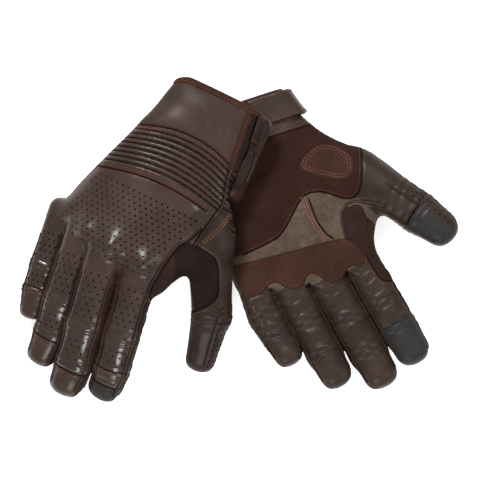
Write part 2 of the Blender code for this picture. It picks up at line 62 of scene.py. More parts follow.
FINGER_FLATNESS = 0.88    # a finger's height over its width
ARCH = 9.0                # how far the ribbed panel's lines bow towards the cuff
STITCH = 3.0              # spacing of the stitches
HOLE_SPACING = 4.6        # of the perforations
HOLE_RADIUS = 0.72
GROOVE_WIDTH = 1.15       # how wide a seam presses into the leather
CAP_LENGTH = 25.0         # from a finger's end to its tip seam on the back
TOUCH_LENGTH = 33.0       # length of the touch leather
TOUCH_CAP = 17.0          # how much of the index tip's end is touch leather all round
CURL = 3.5                # how far the palm-up little finger bulges outwards
COVER_LIMIT = 40.0        # far outside, for cells that no part's field was worked out in
FINGERS = ("index", "middle", "ring", "little")
FINGER_WIDTHS = (12.4, 12.2, 11.4, 10.0)     # half the width at each finger's root

# What differs between the gloves. The edges are (y, x) pairs; knuckles, ends and thumb places are
# points; "up" is the way the back of the hand faces, and "turn" the glove's angle on the ground.
RIGHT = {
    "name": "right", "up": 1.0, "wrist": (-53.25, 53.25), "turn": 153.5,
    "mouth": -65.0, "cuff_border": -19.0, "hinge": -6.0,
    "thumb_edge": ((-66, -43), (-45, -46), (-19, -48), (1, -51), (12, -58), (22, -65), (32, -69),
                   (42, -66), (52, -55), (62, -48), (75, -41), (92, -36)),
    "little_edge": ((-66, 21), (-19, 33), (1, 40), (22, 48), (45, 56), (62, 60), (75, 63), (92, 65)),
    "knuckles": ((-18, 88, 37), (11, 89.5, 35.5), (34, 86, 27), (56, 80, 15.5)),
    "ends": ((-30.5, 177, 12), (-3, 187, 12), (23.5, 175.5, 11.5), (44, 148, 9.8)),
    "rolls": (7.0, 8.0, 9.5, 11.0), "finger_scale": (1.06, 1.14, 1.06, 1.0), "band_end": 91,
    "thumb_root": (-54, 38, 37), "thumb_end": (-87, 126, 13), "thumb_widths": (17.0, 14.6, 10.4),
    "thumb_zone": (16.0, 36.0),
    "cuff_height": 44.0, "cuff_roll": 0.075, "cuff_half": 12.0,
}
LEFT = {
    "name": "left", "up": -1.0, "wrist": (39.5, 65.6), "turn": 198.5,
    "mouth": -48.0, "cuff_border": -18.0, "hinge": -6.0,
    "thumb_edge": ((-49, -7), (-26, -15), (-14, -22), (0, -34), (12, -47), (24, -57), (34, -62),
                   (44, -64), (55, -57), (66, -46), (78, -39), (92, -34)),
    "little_edge": ((-49, 60), (-11, 58), (2, 58), (22, 60), (45, 66), (62, 69), (75, 71), (92, 72)),
    "knuckles": ((-22, 88, 14.5), (7, 90, 14.5), (35, 87, 14), (61, 80, 13)),
    "ends": ((-39, 178, 30), (-11, 187, 32), (21, 176, 32), (50, 150, 29)),
    "rolls": (0.0, 0.0, 0.0, 0.0), "finger_scale": (1.10, 1.13, 1.13, 1.12), "band_end": 110,
    "thumb_end": (-92, 98, 36), "thumb_widths": (16.4, 15.4, 11.8), "thumb_zone": (12.0, 30.0),
    "cuff_height": 10.5, "cuff_roll": 0.0, "cuff_half": 8.8,
}


# ---------------------------------------------------------------- shapes in glove coordinates

def smooth_curve(stations, value):
    """A smooth line through (place, value) stations, level beyond the first and last."""
    xs = np.array([s[0] for s in stations], float)
    ys = np.array([s[1] for s in stations], float)
    slopes = np.gradient(ys, xs)
    v = np.clip(np.asarray(value, float), xs[0], xs[-1])
    i = np.clip(np.searchsorted(xs, v) - 1, 0, len(xs) - 2)
    span = xs[i + 1] - xs[i]
    t = (v - xs[i]) / span
    start = (1 + 2 * t) * (1 - t) ** 2 * ys[i] + t * (1 - t) ** 2 * span * slopes[i]
    end = t ** 2 * (3 - 2 * t) * ys[i + 1] + t ** 2 * (t - 1) * span * slopes[i + 1]
    return start + end


def ease(value, low, high):
    """Rises smoothly from 0 at low to 1 at high."""
    t = np.clip((value - low) / (high - low), 0.0, 1.0)
    return t * t * (3 - 2 * t)


def bell(value, width):
    return np.exp(-(value / width) ** 2)


def soft_min(a, b, k):
    """The smaller of two distances, rounded where they meet."""
    h = np.clip(0.5 + 0.5 * (b - a) / k, 0.0, 1.0)
    return b * (1 - h) + a * h - k * h * (1 - h)


def soft_max(a, b, k):
    return -soft_min(-a, -b, k)


def turned_in(g, p):
    """Glove coordinates turned and moved to where the glove lies."""
    p = np.asarray(p, float)
    t = math.radians(g["turn"])
    x = g["wrist"][0] + math.cos(t) * p[..., 0] - math.sin(t) * p[..., 1]
    y = g["wrist"][1] + math.sin(t) * p[..., 0] + math.cos(t) * p[..., 1]
    return np.stack([x, y, p[..., 2]], axis=-1)


# The frame's origin, found from a joint whose place in glove coordinates is known.
THUMB_JOINT = [j for j in frame["joints"] if j["name"] == "right_thumb_root_bend"][0]
SHIFT = turned_in(RIGHT, RIGHT["thumb_root"]) - np.array(THUMB_JOINT["pos_m"]) / MM


def to_row(g, p):
    """Glove coordinates in the frame's metres."""
    return (turned_in(g, p) - SHIFT) * MM


def to_row_direction(g, d):
    return (to_row(g, d) - to_row(g, np.zeros(3))) / MM


def from_row(g, p):
    """The frame's metres in glove coordinates."""
    q = np.asarray(p, float) / MM + SHIFT
    t = math.radians(g["turn"])
    x, y = q[0] - g["wrist"][0], q[1] - g["wrist"][1]
    return np.array([math.cos(t) * x + math.sin(t) * y, -math.sin(t) * x + math.cos(t) * y, q[2]])


def joint_place(g, name):
    for joint in frame["joints"]:
        if joint["name"] == g["name"] + "_" + name:
            return from_row(g, joint["pos_m"])
    raise KeyError(name)


def width_at(g, y):
    """The middle and half the width of the hand or cuff."""
    thumb = smooth_curve(g["thumb_edge"], y)
    little = smooth_curve(g["little_edge"], y)
    return 0.5 * (thumb + little), 0.5 * (little - thumb)


def mouth_at(g, x, y):
    """The cuff's edge, rounded off towards its little-finger corner."""
    cx, hw = width_at(g, y)
    return g["mouth"] + 5.0 * np.clip(((x - cx) / hw - 0.68) / 0.32, 0, 1) ** 2


def heights_at(g, y):
    """The height of the back and of the palm over the middle of the section."""
    c = g["cuff_half"]
    back = ((-70, c), (-10, c), (22, 13.0), (45, 15.0), (66, 15.5), (78, 13.5), (92, 12.0))
    palm = ((-70, c), (-10, c), (22, 13.5), (45, 15.0), (66, 13.5), (78, 12.0), (92, 11.6))
    return smooth_curve(back, y), smooth_curve(palm, y)


def centre_height(g, x, y):
    """How high the middle of the section lies above the ground."""
    middle = width_at(g, y)[0]
    cuff = g["cuff_height"] - g["cuff_roll"] * (x - middle)
    ks = g["knuckles"]
    row = [(ks[0][0] - 20, ks[0][2])] + [(k[0], k[2]) for k in ks]
    row.append((ks[3][0] + 14, ks[3][2] - 0.35 * (ks[2][2] - ks[3][2])))
    hand = ease(y, g["cuff_border"], 78.0)
    return cuff * (1 - hand) + smooth_curve(row, x) * hand


def ripple(x, y, z, size, seed):
    """Smooth random waves of about the given size, between -1 and 1."""
    rng = np.random.default_rng(seed)
    total = 0.0
    for _ in range(6):
        d = rng.normal(size=3)
        d = d / np.linalg.norm(d) * 2 * math.pi / (size * rng.uniform(0.8, 1.6))
        total = total + np.sin(x * d[0] + y * d[1] + z * d[2] + rng.uniform(0, 6.3))
    return total / 3.4


def hand_field(g, x, y, z, detail=True):
    """Distance to the surface of the cuff and hand, without fingers."""
    cx, hw = width_at(g, y)
    back, palm = heights_at(g, y)
    rise = g["up"] * (z - centre_height(g, x, y))
    high = np.where(rise >= 0, back, palm)
    a = np.abs(x - cx) / hw + 1e-4
    b = np.abs(rise) / high + 1e-4
    n = ROUNDNESS
    r = (a ** n + b ** n) ** (1 / n)
    slope = np.sqrt((a ** (n - 1) / hw) ** 2 + (b ** (n - 1) / high) ** 2) / r ** (n - 1)
    d = (r - 1) / slope
    ky = smooth_curve([(k[0], k[1]) for k in g["knuckles"]], x)
    end = ky - 2.5 - 1.05 * np.clip(rise, -13, 13)
    d = soft_max(d, (y - end) * 0.7, 4.0)
    if not detail:
        return d
    share = rise / high
    dorsal = ease(share, 0.05, 0.45)
    palmar = ease(-share, 0.05, 0.45)
    row = y + ARCH * (1 - np.clip(np.abs(x - cx) / hw, 0, 1) ** 2)
    start = g["cuff_border"] + RIB_MARGIN
    inside = ease(row, start - 0.8, start + 0.5) * (1 - ease(row, 17.4, 18.8))
    ribs = np.abs(np.sin(math.pi * (row - start) / RIB_PITCH)) ** 0.6
    d = d - dorsal * inside * (2.3 * ribs - 1.2)
    d = d - dorsal * 0.9 * (1 - ease(row, g["cuff_border"] - 0.4, g["cuff_border"] + 0.4))
    d = d - dorsal * 0.5 * ease(row, 17.6, 18.6) * (1 - ease(row, 21.6, 22.4))
    for i, k in enumerate(g["knuckles"]):
        bump = (5.2, 5.6, 5.0, 3.6)[i]
        d = d - dorsal * bump * bell(x - k[0] - 1.0, 8.8) * bell(y - (k[1] - 17.0), 10.5)
    d = d + dorsal * 0.35 * ripple(x, y, z, 22.0, 3)
    d = d + palmar * 0.45 * ripple(x, y * 1.7, z, 15.0, 5)
    crinkle = palmar * bell(x + 10.0, 9.0) * bell(y - 52.0, 13.0)
    d = d + crinkle * 0.9 * np.sin((x * 0.9 + 0.35 * y) * 1.35 + ripple(x, y, z, 13.0, 8))
    d = d + (1 - ease(y, -30, 30)) * 0.5 * ripple(x, y, z, 26.0, 11)
    return d


def side_fold_field(g, x, y, z):
    """The edge of the cuff that stands out beside its closing strap."""
    t = np.clip((y + 60.0) / 56.0, 0, 1)
    mid = -47.5 - 4.0 * t
    a = np.abs(x - mid) / 8.0 + 1e-4
    b = np.abs(z - (g["cuff_height"] - 1.0 - 3.0 * t)) / 7.0 + 1e-4
    q = np.abs(y - np.clip(y, -58.0, -5.0)) / 7.0
    return ((a ** 2.4 + b ** 2.4 + q ** 2.4) ** (1 / 2.4) - 1) * 6.5


def unit(v):
    v = np.asarray(v, float)
    return v / np.linalg.norm(v)


def make_digit(g, name, points, widths, roll):
    """A chain of straight segments, each with its directions along, across and out of the back."""
    frames = []
    for a, b in zip(points[:-1], points[1:]):
        along = unit(b - a)
        across = unit((along[1], -along[0], 0.0))
        back = g["up"] * np.cross(across, along)
        r = math.radians(roll)
        frames.append((along, across * math.cos(r) - back * math.sin(r),
                       back * math.cos(r) + across * math.sin(r)))
    lengths = [float(np.linalg.norm(b - a)) for a, b in zip(points[:-1], points[1:])]
    return {"name": name, "points": points, "widths": widths, "frames": frames,
            "lengths": lengths, "starts": np.concatenate([[0.0], np.cumsum(lengths)]),
            "curl": CURL if g["up"] < 0 else 0.0}


def make_digits(g):
    """The fingers and thumb, with where each joins the hand and is cut into pieces."""
    digits = []
    for i, finger in enumerate(FINGERS):
        points = [joint_place(g, f"{finger}_{part}_bend") for part in ("root", "middle", "end")]
        points.append(np.array(g["ends"][i], float))
        w = FINGER_WIDTHS[i] * g["finger_scale"][i]
        d = make_digit(g, finger, points, (w, w * 0.99, w * 0.97, w * 0.89), g["rolls"][i])
        along, _, back = d["frames"][0]
        lean = unit(along + 1.05 * back)
        base = points[0] - 3.0 * lean
        d["zone"] = (base, base + 15.0 * lean)
        d["splits"] = (0.62 * d["lengths"][0], d["starts"][1] + 0.5 * d["lengths"][1])
        digits.append(d)
    points = [joint_place(g, f"thumb_{part}_bend") for part in ("root", "end")]
    points.append(np.array(g["thumb_end"], float))
    d = make_digit(g, "thumb", points, g["thumb_widths"], 0.0)
    along = d["frames"][0][0]
    d["zone"] = (points[0] + g["thumb_zone"][0] * along, points[0] + g["thumb_zone"][1] * along)
    d["splits"] = (d["lengths"][0] - 9.5,)
    digits.append(d)
    return digits


def digit_parts(d, x, y, z):
    """For each segment: its distance field, how far along the finger, and the height across it."""
    parts = []
    last = len(d["frames"]) - 1
    for i, (along, across, back) in enumerate(d["frames"]):
        ox, oy, oz = d["points"][i]
        vx, vy, vz = x - ox, y - oy, z - oz
        t = vx * along[0] + vy * along[1] + vz * along[2]
        side = vx * across[0] + vy * across[1] + vz * across[2]
        rise = vx * back[0] + vy * back[1] + vz * back[2]
        length = d["lengths"][i]
        wa, wb = d["widths"][i], d["widths"][i + 1]
        tip = wb if i == last else 0.0
        low = -16.0 if i == 0 else 0.0
        held = np.clip(t, low, length - tip)
        w = wa + (wb - wa) * np.clip(t / length, 0, 1)
        flat = FINGER_FLATNESS
        a = np.abs(side) / w + 1e-4
        b = np.abs(rise) / (w * flat) + 1e-4
        over = np.abs(t - held)
        q = over / np.where(t > held, max(tip, 1.0) if i == last else w, w) + 1e-4
        n = 2.5
        r = (a ** n + b ** n + q ** n) ** (1 / n)
        slope = np.sqrt((a ** (n - 1) / w) ** 2 + (b ** (n - 1) / (w * flat)) ** 2
                        + (q ** (n - 1) / w) ** 2) / r ** (n - 1)
        parts.append(((r - 1) / slope, d["starts"][i] + t, side / w, rise / (w * flat)))
    return parts


def digit_field(d, x, y, z, detail=True):
    """Distance to a finger's surface, the way along it, and where on its section a point is."""
    parts = digit_parts(d, x, y, z)
    best, s, side, rise = parts[0]
    for part in parts[1:]:
        nearer = part[0] < best
        s = np.where(nearer, part[1], s)
        side = np.where(nearer, part[2], side)
        rise = np.where(nearer, part[3], rise)
        best = soft_min(best, part[0], 2.0)
    if detail:
        palm = ease(-rise, 0.1, 0.6)
        dorsal = ease(rise, 0.1, 0.6)
        seed = 20 + len(d["name"]) * 3
        wave = 0.9 * np.sin(side * 2.4 + seed) + 0.8 * ripple(x, y, z, 14.0, seed)
        total = d["starts"][-1]
        folds = 0.0
        for centre in d["starts"][1:-1]:
            for off, depth in ((-7.5, 0.8), (-1.0, 1.25), (5.5, 0.8)):
                folds = folds + depth * bell(s + wave - centre - off, 1.8)
            best = best - dorsal * 0.9 * bell(s - centre, 9.0)
            for off in (-4.5, 0.0, 4.5):
                best = best + dorsal * 0.55 * bell(s + 0.7 * wave - centre - off, 1.2)
        for off in (14.0, 21.0):
            folds = folds + 0.7 * bell(s + wave - off, 1.4)
        best = best + palm * folds * (1 - ease(s, total - 26, total - 18))
        best = best + 0.26 * ripple(x, y, z, 16.0, seed + 1)
        edge = bell(np.abs(rise) - 0.42, 0.14) * ease(np.abs(side), 0.5, 0.85)
        best = best - 0.55 * edge * ease(s, 6, 14)
        waist = bell(np.abs(rise), 0.30) * ease(np.abs(side), 0.6, 0.9) * ease(s, -2, 6)
        facing = {"index": side > 0, "little": side < 0, "thumb": False}.get(d["name"], True)
        best = best + np.where(facing, -1.3 * (1 - ease(s, total - 30, total - 12)), 0.4) * waist
        if d["name"] == "little" and d["curl"]:
            best = best - d["curl"] * ease(side, 0.2, 0.9) * bell(s - 0.42 * total, 0.3 * total)
    return best, s, side, rise


class Skin:
    """The distance field of one whole glove on a grid, and the surface taken from it."""

    def __init__(self, g):
        self.g = g
        self.digits = make_digits(g)
        self.origin = np.array([-108.0, g["mouth"] - 4.0, -3.0])
        top = 66.0 if g["up"] > 0 else 56.0
        size = np.array([82.0, 194.0, top]) - self.origin
        self.count = (size / STEP).astype(int)
        axes = [self.origin[k] + STEP * np.arange(self.count[k]) for k in range(3)]
        x = axes[0][:, None, None]
        y = axes[1][None, :, None]
        z = axes[2][None, None, :]
        shape = tuple(self.count)
        hand = np.full(shape, COVER_LIMIT, np.float32)
        cut = int((106.0 - self.origin[1]) / STEP)
        hand[:, :cut] = hand_field(g, x, y[:, :cut], z)
        if g["up"] > 0:
            few = int((20.0 - self.origin[1]) / STEP)
            near = int((-20.0 - self.origin[0]) / STEP)
            part = side_fold_field(g, x[:near], y[:, :few], z)
            hand[:near, :few] = soft_min(hand[:near, :few], part, 2.5)
        total = hand.copy()
        for d in self.digits:
            pts = np.array(d["points"])
            low = np.maximum(((pts.min(0) - 34 - self.origin) / STEP).astype(int), 0)
            high = np.minimum(((pts.max(0) + 34 - self.origin) / STEP).astype(int), self.count)
            box = tuple(slice(a, b) for a, b in zip(low, high))
            field = digit_field(d, x[box[0]], y[:, box[1]], z[:, :, box[2]])[0]
            reach = 9.0 if d["name"] == "thumb" else 5.0
            total[box] = np.minimum(total[box], soft_min(hand[box], field, reach))
        total = soft_max(total, 0.15 - z, 1.5)
        plain = np.full(shape, COVER_LIMIT, np.float32)
        deep = int((66.0 - self.origin[1]) / STEP)
        plain[:, :deep] = hand_field(g, x, y[:, :deep], z, False)
        hollow = soft_max(plain + WALL + 0.9, y - 62.0, 3.0)
        hollow = soft_max(hollow, 0.15 + WALL - z, 1.0)
        total = soft_max(total, -hollow, 0.8)
        self.field = np.maximum(total, mouth_at(g, x, y) - y).astype(np.float32)
        self.hollow = hollow.astype(np.float32)

    def sample(self, p, grid=None):
        """The field's value between the cells of the grid."""
        grid = self.field if grid is None else grid
        q = (np.asarray(p) - self.origin) / STEP
        q = np.clip(q, 0, self.count - 1.001)
        i = q.astype(int)
        f = q - i
        value = 0.0
        for a in (0, 1):
            for b in (0, 1):
                for c in (0, 1):
                    w = (np.abs(1 - a - f[..., 0]) * np.abs(1 - b - f[..., 1])
                         * np.abs(1 - c - f[..., 2]))
                    value = value + w * grid[i[..., 0] + a, i[..., 1] + b, i[..., 2] + c]
        return value

    def normal(self, p, reach=STEP):
        """The outward direction at points on or near the surface."""
        parts = []
        for k in range(3):
            e = np.zeros(3)
            e[k] = reach
            parts.append(self.sample(p + e) - self.sample(p - e))
        n = np.stack(parts, axis=-1)
        return n / np.maximum(np.linalg.norm(n, axis=-1, keepdims=True), 1e-6)

    def snap(self, p, rounds=4):
        """Points moved onto the surface."""
        p = np.array(p, float)
        for _ in range(rounds):
            p = p - self.sample(p)[..., None] * self.normal(p)
        return p

    def lift(self, xy, back):
        """The outermost surface above or below the given plan points."""
        xy = np.asarray(xy, float)
        from_top = (self.g["up"] > 0) == back
        zs = np.arange(64.0 if self.g["up"] > 0 else 54.0, -1.0, -STEP)
        if not from_top:
            zs = zs[::-1]
        cols = np.stack([np.repeat(xy[:, None, 0], len(zs), 1), np.repeat(xy[:, None, 1], len(zs), 1),
                         np.repeat(zs[None], len(xy), 0)], axis=-1)
        inside = self.sample(cols) < 0
        first = np.argmax(inside, axis=1)
        z = zs[first]
        missed = ~inside.any(axis=1)
        z = np.where(missed, centre_height(self.g, xy[:, 0], xy[:, 1]), z)
        return self.snap(np.column_stack([xy, z]))

    def surface(self):
        """Vertices and quads of the zero level."""
        f = self.field
        s = f < 0
        n = self.count
        total = np.zeros(tuple(n - 1), np.int8)
        corners = [(a, b, c) for a in (0, 1) for b in (0, 1) for c in (0, 1)]
        for a, b, c in corners:
            total += s[a:n[0] - 1 + a, b:n[1] - 1 + b, c:n[2] - 1 + c]
        cells = np.argwhere((total > 0) & (total < 8))
        index = np.full(tuple(n - 1), -1, np.int64)
        index[tuple(cells.T)] = np.arange(len(cells))
        place = np.zeros((len(cells), 3))
        hits = np.zeros(len(cells))
        values = {c: f[tuple((cells + c).T)].astype(float) for c in corners}
        for c in corners:
            for k in range(3):
                if c[k]:
                    continue
                e = list(c)
                e[k] = 1
                va, vb = values[c], values[tuple(e)]
                cross = (va < 0) != (vb < 0)
                t = np.where(cross, va / np.where(cross, va - vb, 1.0), 0.0)
                p = np.tile(np.array(c, float), (len(cells), 1))
                p[:, k] = t
                place += np.where(cross[:, None], p, 0.0)
                hits += cross
        verts = (cells + place / hits[:, None]) * STEP + self.origin
        quads = []
        for k in range(3):
            u, v = (k + 1) % 3, (k + 2) % 3
            lo = [slice(1, n[0] - 1), slice(1, n[1] - 1), slice(1, n[2] - 1)]
            lo[k] = slice(0, n[k] - 1)
            hi = list(lo)
            hi[k] = slice(1, n[k])
            change = s[tuple(lo)].astype(np.int8) - s[tuple(hi)].astype(np.int8)
            found = np.argwhere(change != 0)
            way = change[tuple(found.T)]
            base = found + [1, 1, 1]
            base[:, k] -= 1
            ring = []
            for du, dv in ((-1, -1), (0, -1), (0, 0), (-1, 0)):
                cell = base.copy()
                cell[:, u] += du
                cell[:, v] += dv
                ring.append(index[tuple(cell.T)])
            q = np.stack(ring, axis=1)
            q[way < 0] = q[way < 0][:, ::-1]
            quads.append(q)
        quads = np.concatenate(quads)
        verts = self.snap(verts, 1)
        return verts, quads[(quads >= 0).all(axis=1)]

    def follow(self, p):
        """Which digit a point is nearest, how near, the way along it, and its section place."""
        p = np.asarray(p, float)
        x, y, z = p[:, 0], p[:, 1], p[:, 2]
        best = np.full(len(p), 1e3)
        which = np.zeros(len(p), int)
        s, side, rise = np.zeros(len(p)), np.zeros(len(p)), np.zeros(len(p))
        for i, d in enumerate(self.digits):
            f = digit_field(d, x, y, z, False)
            nearer = f[0] < best
            best = np.where(nearer, f[0], best)
            which = np.where(nearer, i, which)
            s = np.where(nearer, f[1], s)
            side = np.where(nearer, f[2], side)
            rise = np.where(nearer, f[3], rise)
        hand = hand_field(self.g, x, np.minimum(y, 110.0), z, False)
        return which, best, s, side, rise, hand

    def pieces_of(self, p):
        """The number of the piece each point belongs to: 0 wrist, 1 hand, then the digits."""
        which, near, s, _, _, hand = self.follow(p)
        piece = np.where(p[:, 1] < 21.0, 0, 1)
        for i, d in enumerate(self.digits):
            a, b = d["zone"]
            ahead = (p - a) @ (b - a) > 0
            if d["name"] == "thumb":
                mine = (which == i) & ahead & (near < hand + 3.0)
            else:
                mine = (which == i) & ahead & (p[:, 1] > 55)
            step = np.zeros(len(p), int)
            for split in d["splits"]:
                step += s > split
            piece = np.where(mine, 2 + 3 * i + step, piece)
        return piece


# ---------------------------------------------------------------- paths and small work

def resample(path, spacing, closed=False):
    """Points at even spacing along a path."""
    path = np.asarray(path, float)
    if closed:
        path = np.vstack([path, path[:1]])
    dist = np.concatenate([[0.0], np.cumsum(np.linalg.norm(np.diff(path, axis=0), axis=1))])
    n = max(int(dist[-1] / spacing), 2)
    at = np.linspace(0, dist[-1], n + 1)
    out = np.column_stack([np.interp(at, dist, path[:, k]) for k in range(path.shape[1])])
    return out[:-1] if closed else out


def rounded(path, closed=False, times=3):
    """Chaikin corner cutting."""
    p = np.asarray(path, float)
    for _ in range(times):
        nxt = np.roll(p, -1, axis=0) if closed else p[1:]
        cur = p if closed else p[:-1]
        q = np.empty((2 * len(cur), p.shape[1]))
        q[0::2] = 0.75 * cur + 0.25 * nxt
        q[1::2] = 0.25 * cur + 0.75 * nxt
        if not closed:
            q = np.vstack([p[:1], q, p[-1:]])
        p = q
    return p


def carry(g, xy, source):
    """Plan points drawn on one glove, at the same place of the other glove."""
    xy = np.array(xy, float)
    if g["name"] == source["name"]:
        return xy
    cx, hw = width_at(source, xy[:, 1])
    nx, nw = width_at(g, xy[:, 1])
    share = (xy[:, 0] - cx) / hw
    return np.column_stack([nx + share * nw, xy[:, 1]])


def digit_path(d, spots):
    """Points near a digit's surface from (way along, angle in degrees) pairs."""
    out = []
    for s, turn in spots:
        i = int(np.clip(np.searchsorted(d["starts"], s) - 1, 0, len(d["frames"]) - 1))
        along, across, back = d["frames"][i]
        length = d["lengths"][i]
        t = s - d["starts"][i]
        w = d["widths"][i] + (d["widths"][i + 1] - d["widths"][i]) * np.clip(t / length, 0, 1)
        c, r = math.cos(math.radians(turn)), math.sin(math.radians(turn))
        out.append(d["points"][i] + t * along + 0.97 * w * c * across
                   + 0.97 * w * FINGER_FLATNESS * r * back)
    return np.array(out)


def arch(angles):
    """How far the ribbed panel's lines bow towards the cuff, at angles round the section."""
    share = np.abs(np.cos(np.radians(angles))) ** (2 / ROUNDNESS)
    return ARCH * (1 - share ** 2)


def cuff_path(g, spots):
    """Points near the cuff's or hand's surface from (angle in degrees, y) pairs."""
    spots = np.asarray(spots, float)
    t = np.radians(spots[:, 0])
    y = spots[:, 1]
    cx, hw = width_at(g, y)
    back, palm = heights_at(g, y)
    power = 2 / ROUNDNESS
    c = np.sign(np.cos(t)) * np.abs(np.cos(t)) ** power
    s = np.sign(np.sin(t)) * np.abs(np.sin(t)) ** power
    x = cx + hw * c
    z = centre_height(g, x, y) + g["up"] * np.where(s >= 0, back, palm) * s
    return np.column_stack([x, y, z])


class Soup:
    """Loose vertices and faces with a look for each face."""

    def __init__(self):
        self.verts, self.faces, self.looks, self.normals, self.n = [], [], [], [], 0

    def add(self, verts, faces, look, normals=None):
        self.verts.append(np.asarray(verts, float))
        self.faces += [tuple(int(i) + self.n for i in f) for f in faces]
        self.looks += [look] * len(faces)
        self.normals.append(np.full((len(verts), 3), np.nan) if normals is None else normals)
        self.n += len(verts)

    def tube(self, path, radius, look, closed=False, flat=1.0, ups=None, sides=6):
        """A round or flattened tube along a path, with flat ends unless it is closed."""
        path = np.asarray(path, float)
        ahead = np.roll(path, -1, 0) - np.roll(path, 1, 0)
        if not closed:
            ahead[0], ahead[-1] = path[1] - path[0], path[-1] - path[-2]
        ahead /= np.linalg.norm(ahead, axis=1, keepdims=True) + 1e-9
        ups = np.tile([0.0, 0.0, 1.0], (len(path), 1)) if ups is None else ups
        across = np.cross(ahead, ups)
        across /= np.linalg.norm(across, axis=1, keepdims=True) + 1e-9
        up = np.cross(across, ahead)
        a = np.linspace(0, 2 * math.pi, sides, endpoint=False)
        ring = (np.cos(a)[None, :, None] * across[:, None] * radius
                + np.sin(a)[None, :, None] * up[:, None] * radius * flat)
        verts = (path[:, None] + ring).reshape(-1, 3)
        faces = []
        rows = len(path)
        for r in range(rows if closed else rows - 1):
            q = (r + 1) % rows
            for c in range(sides):
                d = (c + 1) % sides
                faces.append((r * sides + c, q * sides + c, q * sides + d, r * sides + d))
        if not closed:
            faces.append(tuple(range(sides)))
            faces.append(tuple(range((rows - 1) * sides, rows * sides))[::-1])
        self.add(verts, faces, look)

    def stitches(self, p, n, look, spacing, size=0.34, height=0.12, closed=False):
        """Short threads along a row of points, each dipping in at both ends."""
        ahead = np.roll(p, -1, 0) - np.roll(p, 1, 0)
        if not closed:
            ahead[0], ahead[-1] = p[1] - p[0], p[-1] - p[-2]
        ahead /= np.linalg.norm(ahead, axis=1, keepdims=True) + 1e-9
        half = 0.36 * spacing
        for c, m, a in zip(p, n, ahead):
            line = [c - half * a - 0.2 * m, c - 0.6 * half * a + height * m,
                    c + 0.6 * half * a + height * m, c + half * a - 0.2 * m]
            self.tube(line, size, look, False, 0.8, np.tile(m, (4, 1)), 5)


def smoothed(p, closed=False, rounds=4):
    """Points with small jumps sideways taken out."""
    for _ in range(rounds):
        q = 0.5 * p + 0.25 * (np.roll(p, 1, 0) + np.roll(p, -1, 0))
        if not closed:
            q[0], q[-1] = p[0], p[-1]
        p = q
    return p


class Work:
    """Seams, stitches and holes laid on a glove's skin."""

    def __init__(self, skin):
        self.skin, self.soup, self.grooves = skin, Soup(), []

    def seam(self, path, radius=0.55, look="seam", depth=0.55, lift=-0.05, closed=False):
        """A thin tube along a path, and the groove that it presses into the leather."""
        p = smoothed(self.skin.snap(resample(path, 1.1, closed)), closed)
        n = self.skin.normal(p, 1.6)
        self.grooves.append((p, depth))
        self.soup.tube(p + (lift - 0.35 * depth) * n, radius, look, closed, 1.0, n)

    def stitches(self, path, look="thread", spacing=STITCH, closed=False, size=0.34):
        p = smoothed(self.skin.snap(resample(path, spacing, closed)), closed, 1)
        self.soup.stitches(p, self.skin.normal(p, 1.6), look, spacing, size, 0.12, closed)

    def holes(self, points, radius=HOLE_RADIUS):
        """Punched holes, each a low rim around a dark cup: the dark lining seen through the hole,
        darkened further by painted shade of its depth.
        """
        p = self.skin.snap(points)
        n = self.skin.normal(p, 1.6)
        near = np.linalg.norm(p - points, axis=1) < 5.0
        turn = np.linspace(0, 2 * math.pi, 8, endpoint=False)
        for c, m in zip(p[near], n[near]):
            u = unit(np.cross(m, (0.3, 1.0, 0.2)))
            v = np.cross(m, u)
            spin = np.cos(turn)[:, None] * u + np.sin(turn)[:, None] * v
            rim = c + 1.15 * radius * spin + 0.02 * m
            lip = c + radius * spin + 0.13 * m
            floor = c + 0.8 * radius * spin + 0.04 * m
            verts = np.vstack([rim, lip, floor])
            walls, dark = [], [tuple(range(16, 24))]
            for i in range(8):
                j = (i + 1) % 8
                walls.append((i, j, 8 + j, 8 + i))
                dark.append((8 + i, 8 + j, 16 + j, 16 + i))
            self.soup.add(verts, walls, "leather")
            self.soup.add(verts, dark, "hole")


# ---------------------------------------------------------------- looks

